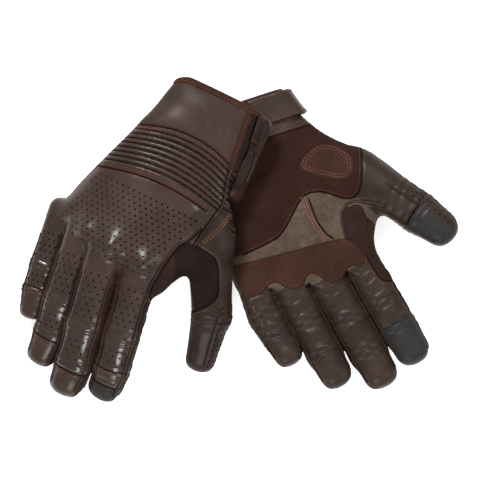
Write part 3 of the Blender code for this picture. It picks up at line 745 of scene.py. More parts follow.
def new_material(name, colour, rough, spread=0.0, grain=0.0, grain_size=0.9, dark=None,
                 sheen=0.0, wear=None, coat=0.0, gloss=0.35):
    """A procedural surface with colour variation, wear and a fine relief."""
    m = bpy.data.materials.new(name)
    m.use_nodes = True
    nt = m.node_tree
    shader = nt.nodes["Principled BSDF"]
    tc = nt.nodes.new("ShaderNodeTexCoord")

    def noise(scale, detail=4.0, rough_in=0.55):
        node = nt.nodes.new("ShaderNodeTexNoise")
        node.inputs["Scale"].default_value = scale
        node.inputs["Detail"].default_value = detail
        node.inputs["Roughness"].default_value = rough_in
        nt.links.new(tc.outputs["Object"], node.inputs["Vector"])
        return node.outputs["Fac"]

    def ramp(source, low, high, a, b):
        node = nt.nodes.new("ShaderNodeMapRange")
        node.inputs["From Min"].default_value = low
        node.inputs["From Max"].default_value = high
        node.inputs["To Min"].default_value = a
        node.inputs["To Max"].default_value = b
        nt.links.new(source, node.inputs["Value"])
        return node.outputs["Result"]

    def mix(fac, a, b):
        node = nt.nodes.new("ShaderNodeMix")
        node.data_type = "RGBA"
        nt.links.new(fac, node.inputs["Factor"])
        for socket, value in ((node.inputs[6], a), (node.inputs[7], b)):
            if isinstance(value, tuple):
                socket.default_value = (*value, 1.0)
            else:
                nt.links.new(value, socket)
        return node.outputs[2]

    dark = dark or tuple(0.55 * c for c in colour)
    blotch = ramp(noise(45.0), 0.35, 0.65, 0.0, 1.0)
    tone = mix(blotch, dark, colour)
    fine = ramp(noise(900.0, 2.0), 0.3, 0.7, 0.0, 0.5 * spread)
    tone = mix(fine, tone, tuple(min(1.0, 1.9 * c) for c in colour))
    if wear:
        rub = ramp(noise(120.0, 6.0), 0.56, 0.74, 0.0, 0.65)
        tone = mix(rub, tone, wear)
    nt.links.new(tone, shader.inputs["Base Color"])
    nt.links.new(ramp(noise(160.0), 0.3, 0.7, rough - 0.07, rough + 0.09), shader.inputs["Roughness"])
    if grain:
        cells = nt.nodes.new("ShaderNodeTexVoronoi")
        cells.inputs["Scale"].default_value = 1000.0 / grain_size
        nt.links.new(tc.outputs["Object"], cells.inputs["Vector"])
        add = nt.nodes.new("ShaderNodeMath")
        add.operation = "ADD"
        nt.links.new(cells.outputs["Distance"], add.inputs[0])
        nt.links.new(noise(420.0, 5.0), add.inputs[1])
        bump = nt.nodes.new("ShaderNodeBump")
        bump.inputs["Strength"].default_value = grain
        bump.inputs["Distance"].default_value = 0.0004
        nt.links.new(add.outputs[0], bump.inputs["Height"])
        nt.links.new(bump.outputs["Normal"], shader.inputs["Normal"])
    shader.inputs["Specular IOR Level"].default_value = gloss
    if sheen:
        shader.inputs["Sheen Weight"].default_value = sheen
        shader.inputs["Sheen Roughness"].default_value = 0.45
        shader.inputs["Sheen Tint"].default_value = (*[min(1.0, 3.0 * c) for c in colour], 1.0)
    if coat:
        shader.inputs["Coat Weight"].default_value = coat
        shader.inputs["Coat Roughness"].default_value = 0.20 if coat > 0.9 else 0.27
    return m


LOOKS = {
    "leather": new_material("soft_leather", (0.042, 0.0235, 0.0165), 0.50, 0.22, 0.35, 0.9,
                            dark=(0.027, 0.0145, 0.0100), wear=(0.062, 0.038, 0.0275), coat=0.45,
                            gloss=0.12),
    "glossy_leather": new_material("glossy_leather", (0.034, 0.0185, 0.0128), 0.50, 0.22, 0.30, 0.9,
                                   dark=(0.020, 0.0105, 0.0074), wear=(0.054, 0.032, 0.023),
                                   coat=0.95, gloss=0.10),
    "cuff_leather": new_material("cuff_leather", (0.045, 0.0262, 0.0190), 0.60, 0.35, 1.00, 1.2,
                                 dark=(0.030, 0.0168, 0.0122), wear=(0.062, 0.040, 0.030), coat=0.10,
                                 gloss=0.12),
    "thumb_leather": new_material("thumb_leather", (0.026, 0.0150, 0.0110), 0.55, 0.22, 0.40, 0.9,
                                  dark=(0.016, 0.0090, 0.0066), wear=(0.042, 0.026, 0.0195),
                                  coat=0.12, gloss=0.12),
    "palm_leather": new_material("palm_leather", (0.086, 0.058, 0.0415), 0.60, 0.35, 0.50, 1.1,
                                 dark=(0.046, 0.030, 0.0210), wear=(0.130, 0.096, 0.070), coat=0.08,
                                 gloss=0.12),
    "finger_leather": new_material("finger_leather", (0.036, 0.0225, 0.0160), 0.55, 0.25, 0.40, 1.0,
                                   dark=(0.020, 0.0122, 0.0088), wear=(0.058, 0.038, 0.0275), coat=0.12,
                                   gloss=0.12),
    "suede": new_material("suede", (0.034, 0.0138, 0.0102), 0.90, 0.4, 0.9, 0.35,
                          dark=(0.023, 0.0092, 0.0070), sheen=0.06, gloss=0.10),
    "band_suede": new_material("band_suede", (0.053, 0.0245, 0.0170), 0.90, 0.4, 0.9, 0.35,
                               dark=(0.037, 0.0168, 0.0118), sheen=0.06, gloss=0.10),
    "side": new_material("side_strip_suede", (0.028, 0.0115, 0.0088), 0.80, 0.4, 0.6, 0.4,
                         dark=(0.017, 0.0070, 0.0056), sheen=0.05, gloss=0.15),
    # The thumb web's suede: the side strip's dark suede, darkened to about half as painted shade of the
    # thumb's crotch.
    "web": new_material("web_suede_painted_shade", (0.0150, 0.0078, 0.0064), 0.85, 0.4, 0.6, 0.4,
                        dark=(0.0090, 0.0048, 0.0040), sheen=0.04, gloss=0.10),
    "dark_leather": new_material("dark_leather", (0.024, 0.0128, 0.0098), 0.60, 0.25, 0.30, 0.9,
                                 coat=0.06, gloss=0.10),
    "binding": new_material("binding", (0.042, 0.0165, 0.0115), 0.75, 0.4, 0.5, 0.5, sheen=0.05,
                            gloss=0.12),
    "touch": new_material("touch_leather", (0.027, 0.0255, 0.0245), 0.60, 0.2, 0.3, 0.6,
                          dark=(0.020, 0.0188, 0.0180), coat=0.10, gloss=0.12),
    "seam": new_material("seam_shadow", (0.011, 0.0050, 0.0040), 0.9, 0.2, gloss=0.1),
    "piping": new_material("piping", (0.036, 0.0195, 0.0145), 0.5, 0.3, 0.2, 0.7, coat=0.2, gloss=0.12),
    "thread": new_material("rust_thread", (0.125, 0.038, 0.020), 0.65, 0.4, 0.4, 0.3, gloss=0.2),
    "gold_thread": new_material("gold_thread", (0.170, 0.080, 0.028), 0.6, 0.4, 0.4, 0.3, gloss=0.2),
    "light_thread": new_material("tan_thread", (0.27, 0.120, 0.066), 0.65, 0.4, 0.4, 0.3, gloss=0.2),
    "pink_thread": new_material("pink_thread", (0.190, 0.066, 0.044), 0.65, 0.4, 0.4, 0.3, gloss=0.2),
    # The holes' dark cups: the dark lining seen through them, darkened further with painted shade of
    # their depth.
    "hole": new_material("punched_hole", (0.005, 0.0032, 0.0028), 0.9, gloss=0.05),
    "lining": new_material("knit_lining", (0.012, 0.0095, 0.0090), 0.95, 0.4, 0.9, 0.8, sheen=0.1,
                           gloss=0.1),
    "hook": new_material("hook_tape", (0.009, 0.0085, 0.0085), 0.95, 0.3, 1.0, 0.5, sheen=0.1,
                         gloss=0.1),
    "foam": new_material("guard_foam", (0.020, 0.020, 0.022), 0.8, 0.3, 0.6, 0.7, gloss=0.2),
}


# ---------------------------------------------------------------- panels and decoration

def in_polygon(pts, poly):
    """Which plan points lie inside a closed outline."""
    x, y = pts[:, 0], pts[:, 1]
    inside = np.zeros(len(pts), bool)
    a = np.asarray(poly)
    b = np.roll(a, -1, axis=0)
    for (x1, y1), (x2, y2) in zip(a, b):
        if y1 == y2:
            continue
        cross = ((y1 > y) != (y2 > y)) & (x < (x2 - x1) * (y - y1) / (y2 - y1) + x1)
        inside ^= cross
    return inside


# Lines drawn on the left glove's palm.
SUEDE_EDGE = ((74, 61), (60, 61), (31, 58), (22, 51), (10, 39), (3, 33), (-6, 33), (-13, 36),
              (-18, 40), (-26, 46), (-34, 47), (-40, 40), (-47, 22), (-50, 12), (-44, -2))
HEEL_PAD = ((-2, 9), (-9, 4), (-21, 0), (-32, 5), (-40, 15), (-41, 21), (-37, 31), (-25, 32),
            (-3, 17), (-1, 13))
BAND = ((70, 66), (63, 67), (32, 69), (-3, 71), (-18, 73), (-23, 80), (-27, 94), (-20, 96), (-13, 94),
        (-7, 99), (-1, 103), (6, 101), (13, 91), (19, 90), (24, 97), (31, 98), (38, 94), (42, 88),
        (48, 88), (54, 93), (64, 94), (70, 90))
TAN_SEAM = ((4, 35), (3, 53), (-2, 69))
CRINKLE_SEAM = ((0, 37), (0, 51), (-3, 64), (-8, 71))
CROTCH_EDGE = ((-17, 73), (-18, 58), (-22, 51), (-29, 48), (-42, 53), (-52, 60))
INDEX_STRIP = ((-17, 73), (-22, 78), (-27, 90), (-30, 106), (-33, 113), (-42, 115))
CROTCH_PATCH = ((-19, 74), (-21, 60), (-25, 53), (-31, 51), (-37, 55), (-36, 70), (-31, 84), (-29, 92),
                (-25, 90))
# Lines drawn on the right glove's back.
CUFF_SIDE_LINE = ((-36, -65), (-39, -45), (-42, -22), (-45, -6), (-50, 6), (-47, 20), (-44, 42))
BACK_EDGE = ((-42, 29), (-37, 42), (-32, 47), (-29, 65), (-27, 88), (-32, 95), (-40, 101))
THUMB_SUEDE = ((-44, 42), (-62, 43), (-69, 54), (-76, 69), (-72, 78), (-61, 90))
GOLD_ROW = ((-57, 11), (-55, 22), (-49, 37))


def panel_looks(skin, p, lining):
    """The look of the skin at each face centre."""
    g = skin.g
    which, near, s, side, rise, hand = skin.follow(p)
    palm = g["up"] * (p[:, 2] - centre_height(g, p[:, 0], p[:, 1])) < 0
    xy = p[:, :2]
    look = np.full(len(p), "leather", dtype=object)
    look[palm] = "palm_leather"
    edge = carry(g, SUEDE_EDGE, LEFT)
    low = g["mouth"] - 9
    heel = np.vstack([[(200, 61), (200, low), (-200, low), (-200, -2)], edge[::-1]])
    heel_zone = palm & in_polygon(xy, heel)
    look[heel_zone] = "suede"
    look[palm & (p[:, 1] < LIP)] = "leather"
    crotch = carry(g, CROTCH_EDGE, LEFT)
    strip = carry(g, INDEX_STRIP, LEFT)
    index_side = np.vstack([crotch[::-1][1:], strip[1:], [(-80, 115), (-80, 60)]])
    index_zone = palm & in_polygon(xy, index_side) & (which != 4)
    look[index_zone] = "side"
    thumb_from = carry(g, [(-46, 32)], RIGHT)[0][0]
    back_edge = carry(g, BACK_EDGE, RIGHT)
    thumb_edge = carry(g, THUMB_SUEDE, RIGHT)
    side_zone = np.vstack([back_edge[1:], [(-52, 101)], thumb_edge[::-1]])
    side_zone = ~palm & in_polygon(xy, side_zone)
    cuff_line = carry(g, CUFF_SIDE_LINE[:4], RIGHT)
    beyond = np.vstack([cuff_line, [(-90, -6), (-90, -75), (-36, -75)]])
    look[~palm & (p[:, 1] < g["cuff_border"])] = "cuff_leather"
    look[~palm & in_polygon(xy, beyond)] = "dark_leather"
    for i, d in enumerate(skin.digits):
        total = d["starts"][-1]
        mine = (which == i) & (near < hand + 2.0)
        if d["name"] == "thumb":
            mine &= (near < 6.0) & ~heel_zone
            look[mine] = "finger_leather"
            look[mine & (p[:, 0] < thumb_from) & (rise > -0.2)] = "thumb_leather"
            look[mine & (s > total - TOUCH_LENGTH - 1) & (rise < 0.05) & (side > -0.36)] = "touch"
            continue
        mine &= (s > 8) & ~index_zone
        look[mine & (rise < 0)] = "finger_leather"
        look[mine & (rise >= 0)] = "glossy_leather"
        look[mine & (rise >= 0) & (s > total - CAP_LENGTH)] = "leather"
        look[mine & (rise > -0.42) & (rise < 0.62) & (np.abs(side) > 0.55) & (s > 4)] = "side"
        if d["name"] == "index":
            look[mine & (s > total - TOUCH_LENGTH - 1) & (rise < 0.35)] = "touch"
            look[mine & (s > total - TOUCH_CAP)] = "touch"
    ks = g["knuckles"]
    line = smooth_curve([(k[0], k[1]) for k in ks], np.clip(p[:, 0], ks[0][0], ks[3][0]))
    look[~palm & (p[:, 1] > line + 1.0) & (hand < near)] = "side"
    look[side_zone] = "side"
    # The thumb's web gets the darker suede: painted shade.
    look[side_zone & (which == 4)] = "web"
    look[lining] = "lining"
    return look


def offset_line(path, by):
    """A plan line moved sideways."""
    p = np.asarray(path, float)
    d = np.gradient(p, axis=0)
    n = np.column_stack([-d[:, 1], d[:, 0]])
    return p + by * n / (np.linalg.norm(n, axis=1, keepdims=True) + 1e-9)


def decorate(work):
    """Every seam, row of stitches and hole of one glove."""
    skin, g = work.skin, work.skin.g

    def on_palm(line, source=LEFT):
        return skin.lift(resample(rounded(carry(g, line, source)), 1.2), False)

    def on_back(line, source=RIGHT):
        return skin.lift(resample(rounded(carry(g, line, source)), 1.2), True)

    def beside(line, source, by):
        return offset_line(resample(rounded(carry(g, line, source)), 1.2), by)

    # Cross seams of the back: both borders of the ribbed panel, and dark lines of painted shade in the
    # valleys between its ribs.
    border = g["cuff_border"]
    arc = np.linspace(12, 168, 70)

    def across_back(y):
        return cuff_path(g, np.column_stack([arc, y - arch(arc)]))

    for y, rows in ((border + 0.2, (1.5, 3.2)), (22.0, (-1.4, -3.0, 1.6))):
        work.seam(across_back(y), 0.55)
        for k in rows:
            work.stitches(across_back(y + k))
    # Dark tubes in the rib valleys: painted shade.
    for y in np.arange(border + RIB_MARGIN, 18.0, RIB_PITCH):
        work.seam(across_back(y), 0.42, "seam", 0.25, 0.12)
    # Long side seams of the cuff and hand, and the lip of the palm's cuff.
    for a in (3, 177):
        ys = np.linspace(g["mouth"] + 3, 60 if a < 90 else 18, 40)
        work.seam(cuff_path(g, [(a, y) for y in ys]), 0.5)
    work.stitches(cuff_path(g, [(9, y) for y in np.linspace(24, 70, 30)]))
    work.seam(cuff_path(g, [(a, LIP) for a in np.linspace(200, 345, 50)]), 0.5)
    work.stitches(cuff_path(g, [(a, LIP - 1.8) for a in np.linspace(200, 345, 50)]))
    # Palm panels.
    work.seam(on_palm(SUEDE_EDGE[1:-1]), 0.5)
    work.stitches(skin.lift(beside(SUEDE_EDGE[1:-1], LEFT, 1.7), False))
    for by in (-1.1, 1.1):
        work.stitches(skin.lift(beside(TAN_SEAM, LEFT, by), False), "light_thread", 2.4, size=0.5)
    work.seam(on_palm(CRINKLE_SEAM), 0.6)
    work.seam(on_palm(CROTCH_EDGE), 0.75, "piping", 0.6, 0.35)
    work.seam(on_palm(INDEX_STRIP), 0.5)
    work.stitches(skin.lift(beside(INDEX_STRIP, LEFT, -1.7), False))
    # Back panels.
    work.seam(on_back(BACK_EDGE), 0.75, "piping", 0.7, 0.4)
    work.seam(skin.lift(beside(BACK_EDGE, RIGHT, 1.5), True), 0.45)
    work.seam(on_back(CUFF_SIDE_LINE[2:]), 0.75, "piping", 0.6, 0.4)
    work.seam(skin.lift(beside(CUFF_SIDE_LINE[2:], RIGHT, -1.5), True), 0.45)
    for by in (-0.9, 0.9):
        work.stitches(skin.lift(beside(GOLD_ROW, RIGHT, by), True), "gold_thread", 2.4, size=0.45)
    # Holes of the back of the hand.
    found = []
    rows = np.arange(26.0, 80.0, 0.87 * HOLE_SPACING)
    for r, y in enumerate(rows):
        cx, hw = width_at(g, y)
        for x in np.arange(-60, 80, HOLE_SPACING):
            found.append((x + 0.5 * HOLE_SPACING * (r % 2), y))
    found = np.array(found)
    cx, hw = width_at(g, found[:, 1])
    ky = smooth_curve([(k[0], k[1]) for k in g["knuckles"]], found[:, 0])
    edge = carry(g, BACK_EDGE, RIGHT)
    inner = np.interp(found[:, 1], edge[:, 1], edge[:, 0]) + 4.0
    keep = (found[:, 0] > inner) & (found[:, 0] < cx + 0.9 * hw) & (found[:, 1] < ky - 10)
    work.holes(skin.lift(found[keep], True))
    for d in skin.digits:
        total = d["starts"][-1]
        if d["name"] == "thumb":
            decorate_thumb(work, d, total)
            continue
        for turn in (40, 140, -27, 207):
            start = 20 if turn < 0 or turn > 180 else 4
            spots = [(s, turn) for s in np.linspace(start, total - 9, 46)]
            work.seam(digit_path(d, spots), 0.6, "piping", 0.5, 0.45)
        tip = total - CAP_LENGTH - (4 if d["name"] == "index" else 0)
        across = np.linspace(30, 150, 20)
        work.seam(digit_path(d, [(tip, a) for a in across]), 0.5)
        for k in (1.7, 3.7):
            work.stitches(digit_path(d, [(tip + k, a) for a in across]), size=0.42)
        if d["name"] == "index":
            for way, first, last in ((TOUCH_CAP, 0, 180), (TOUCH_LENGTH - 1, 200, 340)):
                around = np.linspace(first, last, 24)
                work.seam(digit_path(d, [(total - way, a) for a in around]), 0.6)
        points = []
        for r, s in enumerate(np.arange(2.0, tip - 4.0, HOLE_SPACING)):
            skip = any(abs(s - c) < 6.0 for c in d["starts"][1:-1])
            for a in ((66, 90, 114) if r % 2 else (54, 78, 102, 126)):
                if not skip:
                    points.append((s, a))
        work.holes(digit_path(d, points))


def decorate_thumb(work, d, total):
    """The thumb's piped seams, its suede patch's edge, and holes beside the seams."""
    skin, g = work.skin, work.skin.g
    for turn, first, swing in ((112, 46, 0), (-30, 20, 0), (244, 10, 20)):
        spots = [(s, turn + swing * (1 - s / total)) for s in np.linspace(first, total - 8, 36)]
        work.seam(digit_path(d, spots), 0.65, "piping", 0.6, 0.4)
    edge = resample(rounded(carry(g, THUMB_SUEDE, RIGHT)), 1.2)
    work.seam(skin.lift(edge, True), 0.6)
    work.stitches(skin.lift(offset_line(edge, 1.8), True))
    around = np.linspace(247, 330, 26)
    work.seam(digit_path(d, [(total - TOUCH_LENGTH - 1, a) for a in around]), 0.6)
    points = [(s, a + (18 * (1 - s / total) if a > 160 else 0))
              for s in np.arange(30, total - 8, HOLE_SPACING)
              for a in (122, 138, 154, 186, 202, 218, 234) if s > 40 or a > 160]
    work.holes(digit_path(d, points))


# ---------------------------------------------------------------- pieces

def mesh_piece(g, name, verts, faces, looks, normals=None):
    """An object from glove-coordinate vertices, with one material slot for each look."""
    verts = to_row(g, verts)
    mesh = bpy.data.meshes.new(g["name"] + "_" + name)
    mesh.from_pydata(verts.tolist(), [], faces)
    used = sorted(set(looks))
    for look in used:
        mesh.materials.append(LOOKS[look])
    mesh.polygons.foreach_set("material_index", [used.index(k) for k in looks])
    mesh.polygons.foreach_set("use_smooth", [True] * len(faces))
    mesh.update()
    if normals is not None:
        have = ~np.isnan(normals[:, 0])
        own = np.empty(len(verts) * 3)
        mesh.vertices.foreach_get("normal", own)
        own = own.reshape(-1, 3)
        turned = to_row_direction(g, np.where(have[:, None], normals, 0.0))
        own[have] = turned[have]
        mesh.normals_split_custom_set_from_vertices(own.tolist())
    obj = bpy.data.objects.new(g["name"] + "_" + name, mesh)
    bpy.context.scene.collection.objects.link(obj)
    return obj


def finish_piece(g, obj, nodes, ride=None, across=None):
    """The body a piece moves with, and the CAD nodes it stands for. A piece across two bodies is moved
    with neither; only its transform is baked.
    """
    side = g["name"] + "_"
    if ride:
        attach(obj, side + ride)
    if across:
        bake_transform(obj)
    if nodes:
        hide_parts(*[side + n for n in nodes])
    return obj


def soup_piece(g, name, soup, nodes, ride=None, across=None):
    """A finished piece from loose vertices and faces."""
    obj = mesh_piece(g, name, np.vstack(soup.verts), soup.faces, soup.looks)
    return finish_piece(g, obj, nodes, ride, across)


def skin_pieces(work):
    """The leather skin cut into one piece for each bend, with its seams and stitches."""
    skin, g = work.skin, work.skin.g
    verts, quads = skin.surface()
    normals = skin.normal(verts)
    push = np.zeros(len(verts))
    tree = KDTree(sum(len(p) for p, _ in work.grooves))
    depths = []
    for p, depth in work.grooves:
        for q in p:
            tree.insert(Vector(q), len(depths))
            depths.append(depth)
    tree.balance()
    for i, v in enumerate(verts):
        _, j, dist = tree.find(Vector(v))
        if dist < 3.0:
            push[i] = depths[j] * math.exp(-(dist / GROOVE_WIDTH) ** 2)
    verts = verts - push[:, None] * normals
    centres = verts[quads].mean(axis=1)
    normals = vertex_normals(verts, quads)
    inside = skin.sample(centres, skin.hollow) < 0.9
    looks = list(panel_looks(skin, centres, inside))
    soup = work.soup
    extra = np.vstack(soup.verts)
    extra_faces = soup.faces
    extra_centres = np.array([extra[list(f)].mean(axis=0) for f in extra_faces])
    part = np.concatenate([skin.pieces_of(centres), skin.pieces_of(extra_centres)])
    all_verts = np.vstack([verts, extra])
    all_normals = np.vstack([normals, np.vstack(soup.normals)])
    faces = [tuple(q) for q in quads.tolist()]
    faces += [tuple(i + len(verts) for i in f) for f in extra_faces]
    looks = looks + soup.looks
    plan = [("wrist_skin", ("cuff_panel", "rib_panel_upper", "rib_panel_lower", "cuff_underside"),
             None, ("cuff", "hand", (0, g["cuff_border"] + 1, 0), (0, 8.0, 0))),
            ("hand_skin", ("back_panel", "palm_panel"), "hand", None)]
    for d in skin.digits:
        name = d["name"]
        a, b = d["zone"]
        plan.append((name + "_root_skin", (name + "_base",), None, ("hand", name + "_base", a, b)))
        bends = [("base", "middle"), ("middle", "tip")] if name != "thumb" else [("base", "tip")]
        for k, (low, high) in enumerate(bends):
            centre = d["points"][k + 1]
            along = unit(d["frames"][k][0] + d["frames"][k + 1][0])
            ends = (centre - 8.0 * along, centre + 8.0 * along)
            label = ("_bend_skin", "_end_skin")[k] if name != "thumb" else "_end_skin"
            plan.append((name + label, (name + "_" + high,), None,
                         (name + "_" + low, name + "_" + high, *ends)))
        if name == "thumb":
            plan.append(None)      # one bend fewer, and the pieces are numbered by threes
    for k, row in enumerate(plan):
        if row is None:
            continue
        mine = np.flatnonzero(part == k)
        used = np.unique(np.concatenate([np.array(faces[i]) for i in mine]))
        remap = {int(v): n for n, v in enumerate(used)}
        sub = [tuple(remap[i] for i in faces[f]) for f in mine]
        obj = mesh_piece(g, row[0], all_verts[used], sub, [looks[f] for f in mine],
                         all_normals[used])
        finish_piece(g, obj, row[1], row[2], row[3])


def vertex_normals(verts, quads):
    """The mean direction of the faces round each vertex."""
    p = verts[quads]
    n = np.cross(p[:, 2] - p[:, 0], p[:, 3] - p[:, 1])
    out = np.zeros_like(verts)
    for k in range(4):
        np.add.at(out, quads[:, k], n)
    return out / np.maximum(np.linalg.norm(out, axis=1, keepdims=True), 1e-9)


def patch(skin, name, outline, back, thickness, look, edge=1.2, dome=0.0, lift=0.0, rows=(2.0,),
          thread="thread", spacing=STITCH, chaikin=3, source=LEFT, ride="hand", nodes=(),
          across=None):
    """A sewn-on piece with a cut outline, rolled edges and rows of stitches."""
    g = skin.g
    line = resample(rounded(carry(g, outline, source), True, chaikin), 1.4, True)
    area = 0.5 * np.sum(line[:, 0] * np.roll(line[:, 1], -1) - np.roll(line[:, 0], -1) * line[:, 1])
    if area < 0:
        line = line[::-1]
    low, high = line.min(0), line.max(0)
    xs, ys = np.meshgrid(np.arange(low[0], high[0], 1.15), np.arange(low[1], high[1], 1.15))
    grid = np.column_stack([xs.ravel(), ys.ravel()])
    near = border_distance(grid, line)
    grid = grid[in_polygon(grid, line) & (near > 0.5)]
    n = len(line)
    points = np.vstack([line, grid])
    out = delaunay_2d_cdt([Vector(p) for p in points], [(i, (i + 1) % n) for i in range(n)], [],
                          1, 1e-5)
    plan = np.array([tuple(v) for v in out[0]])
    tris = [tuple(t) for t in out[2]]
    dist = border_distance(plan, line)
    base = skin.lift(plan, back)
    normal = skin.normal(base, 2.0)

    def swell(away):
        return lift + thickness * np.sqrt(np.clip(1 - (1 - np.clip(away / edge, 0, 1)) ** 2, 0, 1))

    rise = swell(dist) + dome * ease(dist, rows[-1] + 0.8 if rows else 1.0, 9.0)
    for row in rows:
        rise = rise - 0.35 * bell(dist - row, 0.9) * (dist > 0.5)
    top = base + rise[:, None] * normal
    bottom = base + (lift - 0.3) * normal
    count = len(plan)
    faces = tris + [tuple(i + count for i in t[::-1]) for t in tris]
    edges = {(a, b): True for t in tris for a, b in zip(t, t[1:] + t[:1])}
    for a, b in edges:
        if (b, a) not in edges:
            faces.append((b, a, a + count, b + count))
    soup = Soup()
    if (g["up"] > 0) != back:
        faces = [f[::-1] for f in faces]
    soup.add(np.vstack([top, bottom]), faces, look)
    for row in rows:
        inset = offset_line(np.vstack([line, line[:2]]), row)[:-1]
        inset = inset[border_distance(inset, line) > 0.85 * row]
        spots = skin.lift(resample(inset, spacing), back)
        m = skin.normal(spots, 2.0)
        h = swell(border_distance(spots[:, :2], line)) - 0.1
        soup.stitches(spots + h[:, None] * m, m, thread, spacing, 0.32, 0.1, True)
    return soup_piece(g, name, soup, nodes, None if across else ride, across)


def border_distance(points, line):
    """How far each plan point is from a closed outline."""
    best = np.full(len(points), 1e9)
    for p, q in zip(line, np.roll(line, -1, axis=0)):
        d = q - p
        t = np.clip(((points - p) @ d) / max(d @ d, 1e-12), 0, 1)
        best = np.minimum(best, np.linalg.norm(points - (p + t[:, None] * d), axis=1))
    return best


def slab(mid, normals, half, look):
    """A closed sheet with rolled edges around a grid of middle points."""
    rows, cols = mid.shape[:2]
    r = np.minimum(np.arange(rows), np.arange(rows)[::-1])[:, None]
    c = np.minimum(np.arange(cols), np.arange(cols)[::-1])[None, :]
    edge = np.clip(np.minimum(r, c) / 2.0, 0, 1)
    h = half * (0.35 + 0.65 * np.sqrt(1 - (1 - edge) ** 2))
    outer = mid + h[..., None] * normals
    inner = mid - h[..., None] * normals
    verts = np.vstack([outer.reshape(-1, 3), inner.reshape(-1, 3)])
    count = rows * cols
    faces = []
    for i in range(rows - 1):
        for j in range(cols - 1):
            a, b = i * cols + j, i * cols + j + 1
            q = (a, b, b + cols, a + cols)
            faces.append(q)
            faces.append(tuple(v + count for v in q[::-1]))
    ring = [(0, j) for j in range(cols)] + [(i, cols - 1) for i in range(1, rows)]
    ring += [(rows - 1, j) for j in range(cols - 2, -1, -1)]
    ring += [(i, 0) for i in range(rows - 2, 0, -1)]
    ids = [i * cols + j for i, j in ring]
    for a, b in zip(ids, ids[1:] + ids[:1]):
        faces.append((b, a, a + count, b + count))
    soup = Soup()
    soup.add(verts, faces, look)
    return soup


def strap_grid(skin, a0, a1, y0, y1, na, ny, offset):
    """Points and normals of a sheet that follows the cuff at a distance."""
    g = skin.g
    angles = np.linspace(a0, a1, na)
    ys = np.linspace(y0, y1, ny)
    spots = np.array([(a, y) for a in angles for y in ys])
    p = cuff_path(g, spots)
    cx = width_at(g, spots[:, 1])[0]
    small = 1e-2
    ahead = cuff_path(g, spots + [small, 0]) - cuff_path(g, spots - [small, 0])
    n = np.cross(ahead, (0.0, 1.0, 0.0))
    n /= np.linalg.norm(n, axis=1, keepdims=True)
    outward = p - np.column_stack([cx, spots[:, 1], centre_height(g, cx, spots[:, 1])])
    n *= np.sign((n * outward).sum(1))[:, None]
    p = p + offset(spots[:, 0])[:, None] * n
    return p.reshape(na, ny, 3), n.reshape(na, ny, 3)


